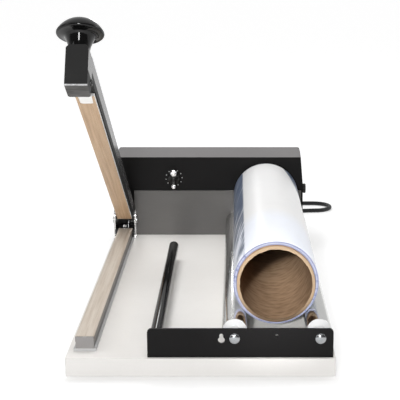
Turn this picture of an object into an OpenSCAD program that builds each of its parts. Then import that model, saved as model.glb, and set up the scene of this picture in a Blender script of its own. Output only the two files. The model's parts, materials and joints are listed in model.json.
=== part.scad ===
// I-bar film sealer: a laminate board carries a film roll in a roller cradle, a heated
// lower jaw along the left edge, a sprung sealing arm and a timer housing at the rear.
// Sizes are in millimetres. Inside the machine, X runs from the board's centre line, Y from
// its front edge and Z from its top. machine() then moves all of it into the part's frame,
// where +Y points to the rear and the origin lies on the table, under the middle of the box.

/* [Base board] */
// Width of the board
base_w = 272; // [250:1:330]
// Depth of the board
base_d = 600; // [560:1:680]
// Thickness of the board
base_t = 19; // [18:0.5:28]
// Height of the rubber feet
foot_h = 4; // [3:0.5:10]
// Diameter of the rubber feet
foot_d = 22; // [16:1:30]
// Distance from the board's edges to the middle of a foot
foot_inset = 32; // [24:1:60]

/* [Film cradle] */
// Width of the front bracket
bracket_w = 187; // [170:1:200]
// Height of the front bracket
bracket_h = 30; // [28:0.5:40]
// Thickness of the bracket's sheet
bracket_t = 3; // [2:0.1:5]
// Depth of the bracket's foot on the board
bracket_foot = 24; // [18:1:40]
// Distance from the board's front edge to the bracket
bracket_setback = 3.5; // [3.4:0.1:12]
// Distance from the board's right edge to the bracket
bracket_side_gap = 2.5; // [1:0.5:10]
// Outside diameter of the rollers
roller_d = 26; // [22:0.5:30]
// Wall of the roller tubes
roller_wall = 3; // [2:0.1:5]
// Distance between the roller axes
roller_pitch = 86.3; // [70:0.1:96]
// Height of the roller axes above the board
roller_axis_h = 20; // [19:0.5:24]
// Distance from the bracket's right end to the right roller's axis
roller_inset = 12.9; // [12:0.1:30]
// Distance from the bracket to the front ends of the rollers
roller_setback = 19.5; // [8:0.5:30]
// Diameter of the roller axles
axle_d = 8; // [6:0.5:10]
// Diameter of the film separator rod
rod_d = 12.5; // [10:0.5:16]
// Length of the film separator rod
rod_len = 358; // [250:1:440]
// Distance from the bracket's left end to the rod's axis
rod_inset = 8.2; // [8:0.1:40]

/* [Film roll] */
// Inside diameter of the cardboard core
core_id = 76.2; // [70:0.1:80]
// Wall of the core
core_wall = 3; // [3:0.1:6]
// Thickness of the film wound on the core
film_build = 4; // [1:0.1:12]
// Width of the film
film_len = 424; // [300:1:430]
// How far the core shows past the film in front
core_proud = 6; // [0.5:0.1:8]
// How far the core shows past the film at the rear
core_tail = 1; // [0.5:0.1:3]
// Distance from the film to the rear panel
film_rear_gap = 6; // [4:0.5:40]

/* [Lower jaw] */
// Distance from the board's left edge to the middle of the jaw and arm
jaw_inset = 17.5; // [16.5:0.1:30]
// Width of the jaw bar
jaw_w = 18.5; // [16:0.5:24]
// Height of the jaw's sealing face above the board
jaw_h = 16; // [15:0.5:17.5]
// Distance from the board's front edge to the jaw
jaw_setback = 21; // [10:1:60]
// Width of the insulating strip under the jaw bar
strip_w = 23; // [18:0.5:26]
// Thickness of the insulating strip
strip_t = 3; // [2:0.1:4]
// Width of the heating ribbon
ribbon_w = 4; // [2:0.1:8]
// Thickness of the heating ribbon
ribbon_t = 0.4; // [0.3:0.05:0.8]
// Thickness of the slip tape on both jaws
tape_t = 0.4; // [0.3:0.05:0.6]
// How far the tape comes down the jaw's sides
tape_lap = 6; // [3:0.5:9]

/* [Hinge] */
// Angle of the raised arm
open_angle = 30.2; // [20:0.1:36]
// Height of the pivot above the board
pivot_h = 24; // [23.5:0.5:28]
// Diameter of the hinge pin
pin_d = 6; // [5:0.5:7]
// Thickness of the hinge's base plate
plate_t = 2; // [1.5:0.1:3]
// Width of the hinge plates, front to back
plate_w = 16; // [15:0.5:22]
// Height of the hinge plates
plate_h = 38; // [36:0.5:50]
// Thickness of the hinge's upright plates
cheek_t = 2.4; // [2:0.1:4]
// How far the gap between the plates lies to the left of the arm's middle
cheek_shift = 1.8; // [0:0.1:2]
// Gap between the hinge plates
plate_gap = 26.5; // [26:0.1:29]
// Wire of the arm's return spring
spring_wire = 1.4; // [1:0.1:1.5]
// Mean radius of the return spring
spring_r = 5.4; // [5:0.1:6]
// Diameter of the switch plunger under the arm's heel
plunger_d = 5; // [4:0.5:6]

/* [Arm] */
// Width of the arm
arm_w = 22; // [18:0.5:22.5]
// Height of the arm above its sealing face
arm_top = 28; // [26:0.5:34]
// Wall of the arm's hollow bar
arm_wall = 2.5; // [1.5:0.1:4]
// Thickness of the silicone pad
pad_t = 3.6; // [2:0.1:5]
// Width of the silicone pad
pad_w = 19.5; // [14:0.5:21]
// Length of the heel in front of the pivot
heel_len = 28; // [26:0.5:36]
// Distance from the heel to the slip tape
tape_start = 2; // [0.5:0.5:20]
// Length of the notch in the tape's front end
pad_bare = 20; // [5:1:60]
// How far the bar reaches past the jaw's front end
arm_overhang = 39; // [25:1:70]
// Length of the end block along the arm
block_len = 30; // [24:0.5:40]
// Width of the end block
block_w = 22.5; // [21:0.5:30]
// How far the end block hangs below the sealing face
block_drop = 15; // [8:0.5:18]
// Distance from the end block's rear face to the screw in its side
block_screw_in = 5.6; // [4.5:0.1:12]
// Distance from the sealing face down to the end block's screw
block_screw_drop = 2.5; // [0:0.1:8]
// Diameter of the handle knob
knob_d = 48; // [40:0.5:60]
// Height of the handle knob
knob_h = 33.8; // [30:0.1:40]
// Diameter of the handle knob's stem
knob_stem_d = 21; // [18:0.5:24]
// Diameter of the handle knob's stud
stud_d = 8; // [6:0.5:10]

/* [Housing] */
// Depth of the housing
hood_d = 95; // [92:1:120]
// Distance from the housing to the board's rear edge
hood_rear_gap = 10; // [4:1:30]
// Distance from the housing's right end to the board's edge
hood_side_gap = 6; // [6:0.5:12]
// Distance from the housing's left end to the board's edge
hood_left_gap = 1; // [1:0.5:12]
// Height of the housing's front face
hood_h = 111.5; // [104:0.5:130]
// Height of the sloping name strip on top
strip_rise = 10.5; // [7:0.5:14]
// Depth of the sloping name strip
strip_run = 22.5; // [15:0.5:30]
// How far the top falls from the name strip to the rear
top_fall = 18; // [14:0.5:24]
// How far the ends lean in at the top
hood_flare = 3.7; // [0:0.1:5]
// Wall of the housing
hood_wall = 2; // [1.5:0.1:3]
// Radius of the top corners
hood_corner = 6; // [4:0.5:8]
// Height of the grey rear panel
panel_h = 64; // [52:0.5:68]
// Thickness of the grey panel and its tray
panel_t = 2; // [1.5:0.1:3]
// Distance from the middle of the arm to the grey panel's left end
panel_start = 10.5; // [6:0.5:20]

/* [Timer] */
// Distance from the housing's left end to the middle of the dial
dial_inset = 83.4; // [60:0.1:120]
// Height of the dial above the board
dial_h = 82; // [76:0.5:92]
// Diameter of the timer knob
dial_knob_d = 18; // [16:0.5:22]
// Thickness of the timer knob
dial_knob_t = 9; // [8:0.5:12]
// Distance from the dial's axis to the middle of the pointer's wide end
pointer_up = 9.2; // [7:0.1:12]
// Width of the pointer's wide end
pointer_wide = 9.5; // [8:0.1:12]
// Distance from the dial's axis to the middle of the pointer's narrow end
pointer_down = 10; // [7:0.1:12]
// Width of the pointer's narrow end
pointer_narrow = 6.6; // [5:0.1:8]
// Thickness of the pointer
pointer_t = 3.5; // [2.5:0.1:5]

/* [Fuse and cord] */
// Distance from the housing's front to the fuse holder's axis
fuse_setback = 35; // [20:0.5:60]
// Height of the fuse holder above the board
fuse_h = 60; // [40:0.5:62]
// Diameter of the fuse cap
fuse_cap_d = 13.5; // [12:0.5:16]
// How far the fuse cap stands out
fuse_cap_t = 5.8; // [4:0.1:5.9]
// Diameter of the power cord
cord_d = 6.4; // [5:0.1:7]
// Height of the cord's outlet above the board
outlet_h = 26; // [20:0.5:40]
// Length of the strain relief behind the housing
relief_len = 30; // [22:0.5:45]
// Length of the plug's body
plug_len = 32; // [26:0.5:40]
// Width of the plug's body
plug_w = 26; // [22:0.5:32]
// Height of the plug's body
plug_h = 20; // [16:0.5:26]

/* [Hidden] */
$fn = 64;
fit = 0.05;
seat = 0.1;
roll_gap = 0.3;
close_gap = 0.3;
over = 1;

// Places that follow from the sizes above
floor_h = -base_t - foot_h;
left_edge = -base_w / 2;
right_edge = base_w / 2;
arm_x = left_edge + jaw_inset;
middle_x = (min(left_edge, arm_x - knob_d / 2) + right_edge) / 2;
rear_y = base_d - hood_rear_gap;
panel_y = rear_y - hood_d;
hood_y = panel_y + panel_t;
hood_left = left_edge + hood_left_gap;
hood_right = right_edge - hood_side_gap;
hood_top = hood_h + strip_rise;
flare_from = 70;

bracket_right = right_edge - bracket_side_gap;
bracket_left = bracket_right - bracket_w;
bracket_back = bracket_setback + bracket_t;
bracket_corner = 4;
roller_right_x = bracket_right - roller_inset;
roller_left_x = roller_right_x - roller_pitch;
roller_x = [roller_left_x, roller_right_x];
bushing_flange = 1;
bushing_len = 16;
roller_front = bracket_back + roller_setback;
cap_t = 4;
cap_edge = 1.2;
cap_dome_r = (pow(roller_d / 2, 2) + pow(cap_t - cap_edge, 2)) / (2 * (cap_t - cap_edge));
hub_d = 14;
roller_back = panel_y - seat - bushing_flange;
axle_nut_d = 11.5;
axle_nut_t = 3.3;
rear_nut_t = 6.5;
rod_x = bracket_left + rod_inset;

roll_r = core_id / 2 + core_wall + film_build;
roll_x = (roller_left_x + roller_right_x) / 2;
roll_reach = roll_r + roller_d / 2 + roll_gap;
roll_h = roller_axis_h + sqrt(pow(roll_reach, 2) - pow(roller_pitch / 2, 2));
film_back = panel_y - film_rear_gap;
film_front = film_back - film_len;

pivot_y = panel_y - plate_w / 2 - 0.2;
cheek_left = -plate_gap / 2 - cheek_shift;
cheek_right = plate_gap / 2 - cheek_shift;
hinge_front = pivot_y - 16;
hinge_back = pivot_y + 7.5;
block_top = 13.5;
plunger_ahead = 8;
plunger_x = -2;
plunger_len = 22;
boss_r = 7;
boss_right = 2;
jaw_back = hinge_front;
jaw_len = jaw_back - jaw_setback;
bar_top = jaw_h - tape_t;
terminal_len = 10;
terminal_in = 2.5;
terminal_w = 9;
terminal_t = 5;

// Along the arm, lengths run forwards from the pivot and heights up from the sealing face
pad_drop = pivot_h - jaw_h - close_gap;
pad_base = tape_t + pad_t;
heel_low = 1.2;
bar_end = pivot_y - jaw_setback + arm_overhang;
pad_end = pivot_y - jaw_setback + 4;
notch_w = 0.75 * pad_w;
notch_r = 4;
block_end = bar_end + block_len;
knob_at = bar_end + block_len / 2;
spigot_len = 35;
spigot_w = arm_w - 2 * arm_wall - 2 * seat;
spigot_low = pad_base + arm_wall + seat;
spigot_high = arm_top - arm_wall - seat;

// The plunger's round tip stays just under the heel, so its travel follows the arm's swing
heel_drop = pad_drop - heel_low + plunger_d / 2;
plunger_rest = plunger_ahead * tan(open_angle) - heel_drop / cos(open_angle) - close_gap;
plunger_travel = plunger_rest + heel_drop + close_gap;
plunger_tip = pivot_h + plunger_rest + plunger_d / 2;
plunger_foot = plunger_tip - plunger_len;
switch_top = plunger_foot - plunger_travel - 0.2;
switch_l = 20;
switch_w = 7;
switch_t = 10;

dial_x = hood_left + dial_inset;
dial_knob_y = hood_y - 0.6;
shaft_d = 6;
bushing_d = 9;
fuse_y = panel_y + fuse_setback;
outlet_x = hood_right - 35;

screw_d = 4;
wood_screw_len = 12;
screw_head_d = 7.5;
screw_head_t = 2.4;

// Cord: route points in the part's frame, with Z up from the table
cord_r = cord_d / 2;
cord_sides = 8;
hank_sides = 6;
hank_loops = 2;
hank_rings = 24;
hank_run = 96;
hank_fold_r = 20;
hank_step = 8.4;
hank_layer = 7.6;
hank_waist = 10;
hank_x = 0;
hank_y = 436;
tie_t = 1.2;
tie_w = 9;
tie_gap = 0.4;
hank_low = cord_r + tie_t + tie_gap;
hank_high = hank_low + hank_layer;
hank_end = 2 * hank_loops + 0.25;
outlet = [outlet_x - middle_x, rear_y + relief_len - base_d / 2, outlet_h - floor_h];
plug_x = -104;
plug_y = 412;
plug_neck = 12;

function floor_points(list) = [for (p = list) [p[0], p[1], cord_r]];
lead_drop = [
    [0, 7, 0], [0, 20, -1], [0, 34, -5], [1, 47, -13], [3, 58, -23], [7, 69, -33], [13, 80, -40.5]
];
lead_floor = [
    [119, 410], [129, 418.5], [141, 424.5], [154, 427], [167, 428], [177, 430], [185.4, 435.6],
    [191, 444], [193, 454], [191, 464], [185.4, 472.4], [177, 478], [167, 480], [152, 480],
    [136, 479.5], [120, 478.5], [104, 477], [88, 475]
];
lead_route = concat(
    [outlet],
    [for (p = lead_drop) outlet + p],
    floor_points(lead_floor),
    [[72, 473.4, hank_low - 0.8], [60, 472.8, hank_low], hank_point(0)]
);
tail_route = concat(
    [hank_point(hank_end)],
    [[-56, 474.9, hank_high], [-70, 474, 11], [-84, 469.5, 8], [-95, 460, 5], [-101.5, 447, 5.4]],
    [[-104, 433, 8.6], [-104, 424, plug_h / 2], [plug_x, plug_y, plug_h / 2]]
);
hank_path = [for (i = [0 : hank_end * hank_rings]) hank_point(i / hank_rings)];

function unit(v) = v / norm(v);
function ease(t) = t * t * (3 - 2 * t);
function route_length(p) = len(p) < 2 ? 0 : sum_steps([for (i = [1 : len(p) - 1]) norm(p[i] - p[i - 1])]);
function sum_steps(v, i = 0) = i == len(v) ? 0 : v[i] + sum_steps(v, i + 1);

// Least distance between the surfaces of two strands of one tube that pass each other
function least_gap(p, d, skip) =
    min([for (i = [0 : len(p) - skip - 1]) for (j = [i + skip : len(p) - 1]) norm(p[i] - p[j])]) - d;

// A loop of the hank goes along the rear run, round the left fold, along the front run and back
function hank_radius(s) = hank_fold_r + hank_step * abs(hank_loops - s);
function hank_height(s) =
    hank_low + hank_layer * ease(max(0, min(1, 4 * (s - hank_loops))));
function hank_run_y(s, x) = hank_radius(s) - hank_waist * pow(cos(180 * x / hank_run), 2);
function hank_flat(s, quarter, along) =
    quarter == 0 ? let (x = hank_run * (0.5 - along)) [x, hank_run_y(s, x)] :
    quarter == 1 ? [-hank_run / 2, 0] + hank_radius(s) * [cos(90 + 180 * along), sin(90 + 180 * along)] :
    quarter == 2 ? let (x = hank_run * (along - 0.5)) [x, -hank_run_y(s, x)] :
    [hank_run / 2, 0] + hank_radius(s) * [cos(180 * along - 90), sin(180 * along - 90)];
function hank_point(s) =
    let (part = 4 * (s - floor(s)), flat = hank_flat(s, floor(part), part - floor(part)))
    [hank_x + flat[0], hank_y + flat[1], hank_height(s)];

// The return spring winds round the hinge pin, one leg on the hinge block, one under the heel
spring_from = 107.5;
spring_turns = 3;
spring_to = 360 * (spring_turns + 1) + open_angle;
spring_pitch = 1.95;
spring_x = 3.2;
spring_leg = 12;
spring_rings = 8 * (spring_turns + 1);
function spring_point(angle) = [
    arm_x + spring_x + spring_pitch * (angle - spring_from) / 360,
    pivot_y - spring_r * sin(angle),
    pivot_h - spring_r * cos(angle)
];
spring_turn_points = [
    for (i = [0 : spring_rings]) spring_point(spring_from + (spring_to - spring_from) * i / spring_rings)
];
spring_path = concat(
    [spring_point(spring_from) + spring_leg * [0, cos(spring_from), -sin(spring_from)]],
    spring_turn_points,
    [spring_point(spring_to) + spring_leg * [0, -cos(open_angle), sin(open_angle)]]
);

echo(hank_gap_mm = least_gap(hank_path, cord_d, 6));
echo(spring_gap_mm = least_gap(spring_path, spring_wire, 5));
echo(cord_length_mm = route_length(lead_route) + route_length(hank_path) + route_length(tail_route));

// Shared shapes

module machine() {
    translate([-middle_x, -base_d / 2, -floor_h]) children();
}

module box(low, high) {
    translate(low) cube(high - low);
}

module along_y(d, from, to) {
    translate([0, from, 0]) rotate([-90, 0, 0]) cylinder(d = d, h = to - from);
}

module along_x(d, from, to) {
    translate([from, 0, 0]) rotate([0, 90, 0]) cylinder(d = d, h = to - from);
}

module along_z(d, from, to) {
    translate([0, 0, from]) cylinder(d = d, h = to - from);
}

// An outline drawn in Y and Z, extruded across X
module across(from, to) {
    translate([from, 0, 0]) rotate([90, 0, 90]) linear_extrude(to - from) children();
}

// An outline drawn in X and Z, extruded back along Y
module backwards(from, to) {
    translate([0, to, 0]) rotate([90, 0, 0]) linear_extrude(to - from) children();
}

module round_square(w, h, r) {
    for (s = [-1, 1]) {
        translate([s * (w / 2 - r), h - r]) circle(r);
        translate([s * (w / 2 - r), r]) circle(r);
    }
    translate([-w / 2 + r, 0]) square([w - 2 * r, h]);
    translate([-w / 2, r]) square([w, h - 2 * r]);
}

// A screw with its head on top and its shank pointing down
module screw(shank_d, length, head_d, head_t) {
    cylinder(d = head_d, h = head_t);
    translate([0, 0, -length]) cylinder(d = shank_d, h = length + head_t / 2);
}

module screw_hole(shank_d, length) {
    translate([0, 0, -length - fit]) cylinder(d = shank_d + 2 * fit, h = length + fit + over);
}

// A tube swept along a list of points, with its section carried on without a twist
function tangents(p) =
    [for (i = [0 : len(p) - 1]) unit(p[min(i + 1, len(p) - 1)] - p[max(i - 1, 0)])];
function carried(t, u, i = 0, done = []) =
    i == len(t) ? done :
    let (n = unit(u - (u * t[i]) * t[i])) carried(t, n, i + 1, concat(done, [n]));

module tube(p, d, sides, up) {
    t = tangents(p);
    n = carried(t, up);
    last = len(p) - 1;
    points = [
        for (i = [0 : last]) for (k = [0 : sides - 1])
            p[i] + d / 2 * (cos(360 * k / sides) * n[i] + sin(360 * k / sides) * cross(t[i], n[i]))
    ];
    side_faces = [
        for (i = [0 : last - 1]) for (k = [0 : sides - 1])
            let (a = i * sides + k, b = i * sides + (k + 1) % sides)
            each [[a, a + sides, b + sides], [a, b + sides, b]]
    ];
    first_cap = [for (k = [1 : sides - 2]) [0, k, k + 1]];
    last_cap = [for (k = [1 : sides - 2]) last * sides * [1, 1, 1] + [0, k + 1, k]];
    polyhedron(points, concat(side_faces, first_cap, last_cap));
}

// Places of the fasteners

foot_places = [
    for (x = [left_edge + foot_inset, right_edge - foot_inset]) for (y = [foot_inset, base_d - foot_inset])
        [x, y, 0]
];
bracket_screw_places = [
    for (x = [bracket_left + 28, roll_x, bracket_right - 42])
        [x, bracket_back + (bracket_foot - bracket_t) / 2 + 2, bracket_t]
];
jaw_screw_places = [for (k = [0.08, 0.5, 0.92]) [arm_x, jaw_setback + k * jaw_len, -base_t]];
jaw_screw_reach = base_t + strip_t + 5;
jaw_screw_sink = 4;
hinge_screw_places = [for (x = [-8, 7]) [arm_x + x, pivot_y + 3.4, block_top - screw_head_t]];
hinge_screw_len = block_top - screw_head_t + 11;
tray_left = hood_left + hood_wall + 0.5;
tray_right = hood_right - hood_wall - 0.5;
tray_back = rear_y - hood_wall - seat;
chassis_screw_places = [
    for (x = [tray_left + 12, tray_right - 12]) for (y = [hood_y + 14, tray_back - 14]) [x, y, panel_t]
];
tray_lip_h = 24;
hood_screw_places = [for (x = [hood_left + 30, 0, hood_right - 20]) [x, rear_y, 14]];

// Base

module base_board() color("whitesmoke") machine() difference() {
    translate([0, base_d / 2, -base_t]) linear_extrude(base_t)
        translate([0, -base_d / 2]) round_square(base_w, base_d, 2);
    for (p = foot_places) translate([p[0], p[1], -base_t]) rotate([180, 0, 0]) screw_hole(screw_d, wood_screw_len);
    for (p = bracket_screw_places) translate([p[0], p[1], 0]) screw_hole(screw_d, wood_screw_len);
    for (p = chassis_screw_places) translate([p[0], p[1], 0]) screw_hole(screw_d, wood_screw_len);
    for (p = hinge_screw_places) translate(p) screw_hole(screw_d, hinge_screw_len);
    for (p = jaw_screw_places) translate(p) {
        along_z(screw_d + 2 * fit, -over, base_t + over);
        along_z(screw_head_d + 1, -over, jaw_screw_sink);
    }
    // Pocket for the arm's switch
    translate([arm_x + plunger_x, pivot_y - plunger_ahead, 0])
        box([-switch_w / 2 - seat, -switch_l / 2 - seat, switch_top - switch_t], [switch_w / 2 + seat, switch_l / 2 + seat, over]);
}

foot_sink = 2;
module rubber_feet() color("dimgray") machine() for (p = foot_places) translate([p[0], p[1], floor_h]) difference() {
    cylinder(d1 = foot_d - 3, d2 = foot_d, h = foot_h);
    translate([0, 0, -over]) cylinder(d = screw_d + 2 * fit, h = foot_h + 2 * over);
    translate([0, 0, -over]) cylinder(d = screw_head_d + 1, h = over + foot_sink);
}

module foot_screws() color("silver") machine() for (p = foot_places)
    translate([p[0], p[1], floor_h + foot_sink]) rotate([180, 0, 0]) screw(screw_d, wood_screw_len + foot_h - foot_sink, screw_head_d, foot_sink - 0.4);

// Film cradle

module keyhole_outline() {
    circle(d = 7);
    translate([-2, 0]) square([4, 5]);
    translate([0, 5]) circle(d = 4);
}

module cradle_bracket() color([0.07, 0.07, 0.07]) machine() difference() {
    union() {
        translate([(bracket_left + bracket_right) / 2, 0, 0]) backwards(bracket_setback, bracket_back) {
            round_square(bracket_w, bracket_h, bracket_corner);
            translate([-bracket_w / 2, 0]) square([bracket_w, bracket_h / 2]);
        }
        box([bracket_left, bracket_setback, 0], [bracket_right, bracket_setback + bracket_foot, bracket_t]);
    }
    for (x = roller_x) translate([x, 0, roller_axis_h])
        along_y(axle_d + 2 * fit, bracket_setback - over, bracket_back + over);
    translate([roller_left_x - 13.3, 0, roller_axis_h - 2]) backwards(bracket_setback - over, bracket_back + over)
        keyhole_outline();
    translate([roll_x - 1, 0, roller_axis_h + 3]) along_y(3, bracket_setback - over, bracket_back + over);
    for (p = bracket_screw_places) translate(p) screw_hole(screw_d, bracket_t + over);
}

module bracket_screws() color([0.1, 0.1, 0.1]) machine() for (p = bracket_screw_places)
    translate(p) screw(screw_d, wood_screw_len + bracket_t, screw_head_d, screw_head_t);

module roller_axles() color("silver") machine() for (x = roller_x) translate([x, 0, roller_axis_h])
    along_y(axle_d, bracket_setback, hood_y + hood_wall + rear_nut_t);

// Low domed heads over the front ends of the axles
module axle_cap_nuts() color("gainsboro") machine() for (x = roller_x)
    translate([x, bracket_setback, roller_axis_h]) rotate([90, 0, 0]) intersection() {
        cylinder(d = axle_nut_d, h = axle_nut_t);
        translate([0, 0, axle_nut_t - axle_nut_d * 0.62]) sphere(d = axle_nut_d * 1.24);
    }

module axle_rear_nuts() color("silver") machine() for (x = roller_x) translate([x, 0, roller_axis_h]) difference() {
    translate([0, hood_y + hood_wall, 0]) rotate([-90, 0, 0]) cylinder(d = axle_d * 1.85, h = rear_nut_t, $fn = 6);
    along_y(axle_d + 2 * fit, hood_y, hood_y + hood_wall + rear_nut_t + over);
}

module roller_tube(x) translate([x, 0, roller_axis_h]) difference() {
    along_y(roller_d, roller_front, roller_back);
    along_y(roller_d - 2 * roller_wall, roller_front - over, roller_back + over);
}

// Plugs that run on the axle: one with a domed cap and a long hub in front, one with a flange at the rear
module roller_bushings(x) translate([x, 0, roller_axis_h]) difference() {
    union() {
        along_y(roller_d - 2 * roller_wall, roller_front - cap_edge, roller_front + bushing_len);
        intersection() {
            along_y(roller_d, roller_front - cap_t, roller_front);
            translate([0, roller_front - cap_t + cap_dome_r, 0]) sphere(cap_dome_r);
        }
        along_y(hub_d, bracket_back + seat, roller_front - cap_edge);
        along_y(roller_d - 2 * roller_wall, roller_back - bushing_len, roller_back + bushing_flange);
        along_y(roller_d - 2, roller_back, roller_back + bushing_flange);
    }
    along_y(axle_d + 2 * fit, bracket_back - over, roller_back + bushing_flange + over);
}

module left_roller() color("gainsboro") machine() roller_tube(roller_left_x);
module left_roller_bushings() color("ghostwhite") machine() roller_bushings(roller_left_x);
module right_roller() color("gainsboro") machine() roller_tube(roller_right_x);
module right_roller_bushings() color("ghostwhite") machine() roller_bushings(roller_right_x);

module film_rod() color([0.05, 0.05, 0.05]) machine() translate([rod_x, 0, roller_axis_h]) {
    along_y(rod_d, bracket_back, bracket_back + rod_len - rod_d / 2);
    translate([0, bracket_back + rod_len - rod_d / 2, 0]) sphere(d = rod_d);
}

module film_core() color("tan") machine() translate([roll_x, 0, roll_h]) difference() {
    along_y(core_id + 2 * core_wall, film_front - core_proud, film_back + core_tail);
    along_y(core_id, film_front - core_proud - over, film_back + core_tail + over);
}

module film_winding() color("aliceblue") machine() translate([roll_x, 0, roll_h]) difference() {
    along_y(2 * roll_r, film_front, film_back);
    along_y(core_id + 2 * core_wall, film_front - over, film_back + over);
}

// Lower jaw

module jaw_strip() color("white") machine() difference() {
    box([arm_x - strip_w / 2, jaw_setback, 0], [arm_x + strip_w / 2, jaw_back, strip_t]);
    for (p = jaw_screw_places) translate(p) along_z(screw_d + 2 * fit, 0, jaw_screw_reach + 2);
}

module jaw_bar() color("silver") machine() difference() {
    box([arm_x - jaw_w / 2, jaw_setback, strip_t], [arm_x + jaw_w / 2, jaw_back, bar_top]);
    box([arm_x - ribbon_w / 2, jaw_setback - over, bar_top - ribbon_t], [arm_x + ribbon_w / 2, jaw_back + over, jaw_h]);
    terminal_pockets(over);
    for (p = jaw_screw_places) translate(p) along_z(screw_d + 2 * fit, 0, jaw_screw_reach + fit);
}

module terminal_pockets(past) for (y = [jaw_setback + terminal_in, jaw_back - terminal_in - terminal_len])
    box(
        [arm_x - terminal_w / 2, y, bar_top - ribbon_t - terminal_t],
        [arm_x + terminal_w / 2, y + terminal_len, bar_top - ribbon_t + past]
    );

module jaw_screws() color("silver") machine() for (p = jaw_screw_places)
    translate(p + [0, 0, jaw_screw_sink]) rotate([180, 0, 0])
        screw(screw_d, jaw_screw_reach - jaw_screw_sink, screw_head_d, screw_head_t);

module heating_ribbon() color("gray") machine()
    box([arm_x - ribbon_w / 2, jaw_setback, bar_top - ribbon_t], [arm_x + ribbon_w / 2, jaw_back, bar_top]);

module ribbon_terminals() color("goldenrod") machine() terminal_pockets(0);

module jaw_tape() color([0.85, 0.78, 0.68]) machine() difference() {
    box([arm_x - jaw_w / 2 - tape_t, jaw_setback + 1, bar_top - tape_lap], [arm_x + jaw_w / 2 + tape_t, jaw_back - 1, jaw_h]);
    box([arm_x - jaw_w / 2, jaw_setback, 0], [arm_x + jaw_w / 2, jaw_back, bar_top]);
}

// Hinge

module hinge_plate_outline() translate([pivot_y, 0]) {
    translate([-plate_w / 2, 0]) square([plate_w, plate_h - plate_w / 2]);
    translate([0, plate_h - plate_w / 2]) circle(d = plate_w);
}

module hinge_bracket() color("gainsboro") machine() difference() {
    translate([arm_x, 0, 0]) {
        across(cheek_left - cheek_t, cheek_left) hinge_plate_outline();
        across(cheek_right, cheek_right + cheek_t) hinge_plate_outline();
        box([cheek_left - cheek_t, hinge_front, 0], [cheek_right + cheek_t, hinge_back, plate_t]);
    }
    translate([arm_x, pivot_y, pivot_h]) along_x(pin_d + 2 * fit, -plate_gap, plate_gap);
    translate([arm_x + plunger_x, pivot_y - plunger_ahead, 0]) along_z(plunger_d + 2, -over, plate_t + over);
    for (p = hinge_screw_places) translate(p) screw_hole(screw_d, hinge_screw_len);
}

// Black insulating block that guides the plunger between the hinge plates
module hinge_block() color([0.08, 0.08, 0.08]) machine() difference() {
    box([arm_x + cheek_left + seat, hinge_front, plate_t], [arm_x + cheek_right - seat, hinge_back, block_top]);
    translate([arm_x + plunger_x, pivot_y - plunger_ahead, 0]) along_z(plunger_d + 2 * fit, 0, block_top + over);
    for (p = hinge_screw_places) translate(p) {
        screw_hole(screw_d, hinge_screw_len);
        along_z(screw_head_d + 0.2, 0, screw_head_t + over);
    }
}

module hinge_screws() color("silver") machine() for (p = hinge_screw_places)
    translate(p) screw(screw_d, hinge_screw_len, screw_head_d, screw_head_t);

pin_head_t = 1;
pin_tail = 2;
clip_right = cheek_left - cheek_t - seat;
clip_left = clip_right - 1;
module hinge_pin() color("silver") machine() translate([arm_x, pivot_y, pivot_h]) difference() {
    union() {
        along_x(pin_d, cheek_left - cheek_t - pin_tail, cheek_right + cheek_t);
        along_x(pin_d + 3, cheek_right + cheek_t, cheek_right + cheek_t + pin_head_t);
    }
    difference() {
        along_x(pin_d + over, clip_left, clip_right);
        along_x(pin_d - 1.2, -plate_gap, 0);
    }
}

module pin_clip() color("dimgray") machine() translate([arm_x, pivot_y, pivot_h]) difference() {
    along_x(pin_d + 4, clip_left + fit, clip_right - fit);
    along_x(pin_d - 1.2 + 2 * fit, -plate_gap, 0);
    translate([0, -pin_d / 2 + 1, 0]) box([-plate_gap, 0, -pin_d], [0, pin_d - 2, 0]);
}

module return_spring() color("lightgray") machine() tube(spring_path, spring_wire, 6, [1, 0, 0]);

module switch_plunger() color("gainsboro") machine() translate([arm_x + plunger_x, pivot_y - plunger_ahead, 0])
    rotate_extrude() difference() {
        union() {
            translate([0, plunger_foot]) square([plunger_d / 2, plunger_len - plunger_d / 2]);
            translate([0, plunger_tip - plunger_d / 2]) circle(d = plunger_d);
        }
        translate([-plunger_d, plunger_foot - over]) square([plunger_d, plunger_len + 2 * over]);
    }

module arm_switch() color([0.15, 0.15, 0.15]) machine() translate([arm_x + plunger_x, pivot_y - plunger_ahead, 0])
    box([-switch_w / 2, -switch_l / 2, switch_top - switch_t], [switch_w / 2, switch_l / 2, switch_top]);

// Arm, drawn closed with the pivot at Y = 0 and then raised

module raised() {
    machine() translate([arm_x, pivot_y, pivot_h]) rotate([-open_angle, 0, 0]) translate([0, 0, -pad_drop]) children();
}

module arm_box(w, from, to, low, high) {
    box([-w / 2, -to, low], [w / 2, -from, high]);
}

heel_back = 5.5;
heel_slope = 12;
spring_room = 20;
module arm_heel() color([0.06, 0.06, 0.06]) raised() difference() {
    union() {
        across(-arm_w / 2, arm_w / 2) polygon([
            [0, heel_low], [-heel_len, heel_low], [-heel_len, arm_top], [-heel_slope, arm_top],
            [heel_back, pad_drop + 5], [heel_back, pad_drop], [0, pad_drop]
        ]);
        translate([0, 0, pad_drop]) along_x(2 * boss_r, cheek_left + seat, boss_right);
        arm_box(spigot_w, heel_len - 5, heel_len + spigot_len, spigot_low, spigot_high);
    }
    translate([0, 0, pad_drop]) along_x(pin_d + 2 * fit, -plate_gap, plate_gap);
    // Room for the return spring
    translate([0, 0, pad_drop]) along_x(2 * spring_r + 2 * spring_wire + 1, boss_right, plate_gap);
    box([boss_right, -spring_room, -over], [plate_gap, boss_r + over, pad_drop - spring_r + spring_wire + 0.3]);
}

module arm_bar() color("darkgray") raised() difference() {
    arm_box(arm_w, heel_len, bar_end, pad_base, arm_top);
    arm_box(arm_w - 2 * arm_wall, heel_len - over, bar_end + over, pad_base + arm_wall, arm_top - arm_wall);
}

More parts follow.
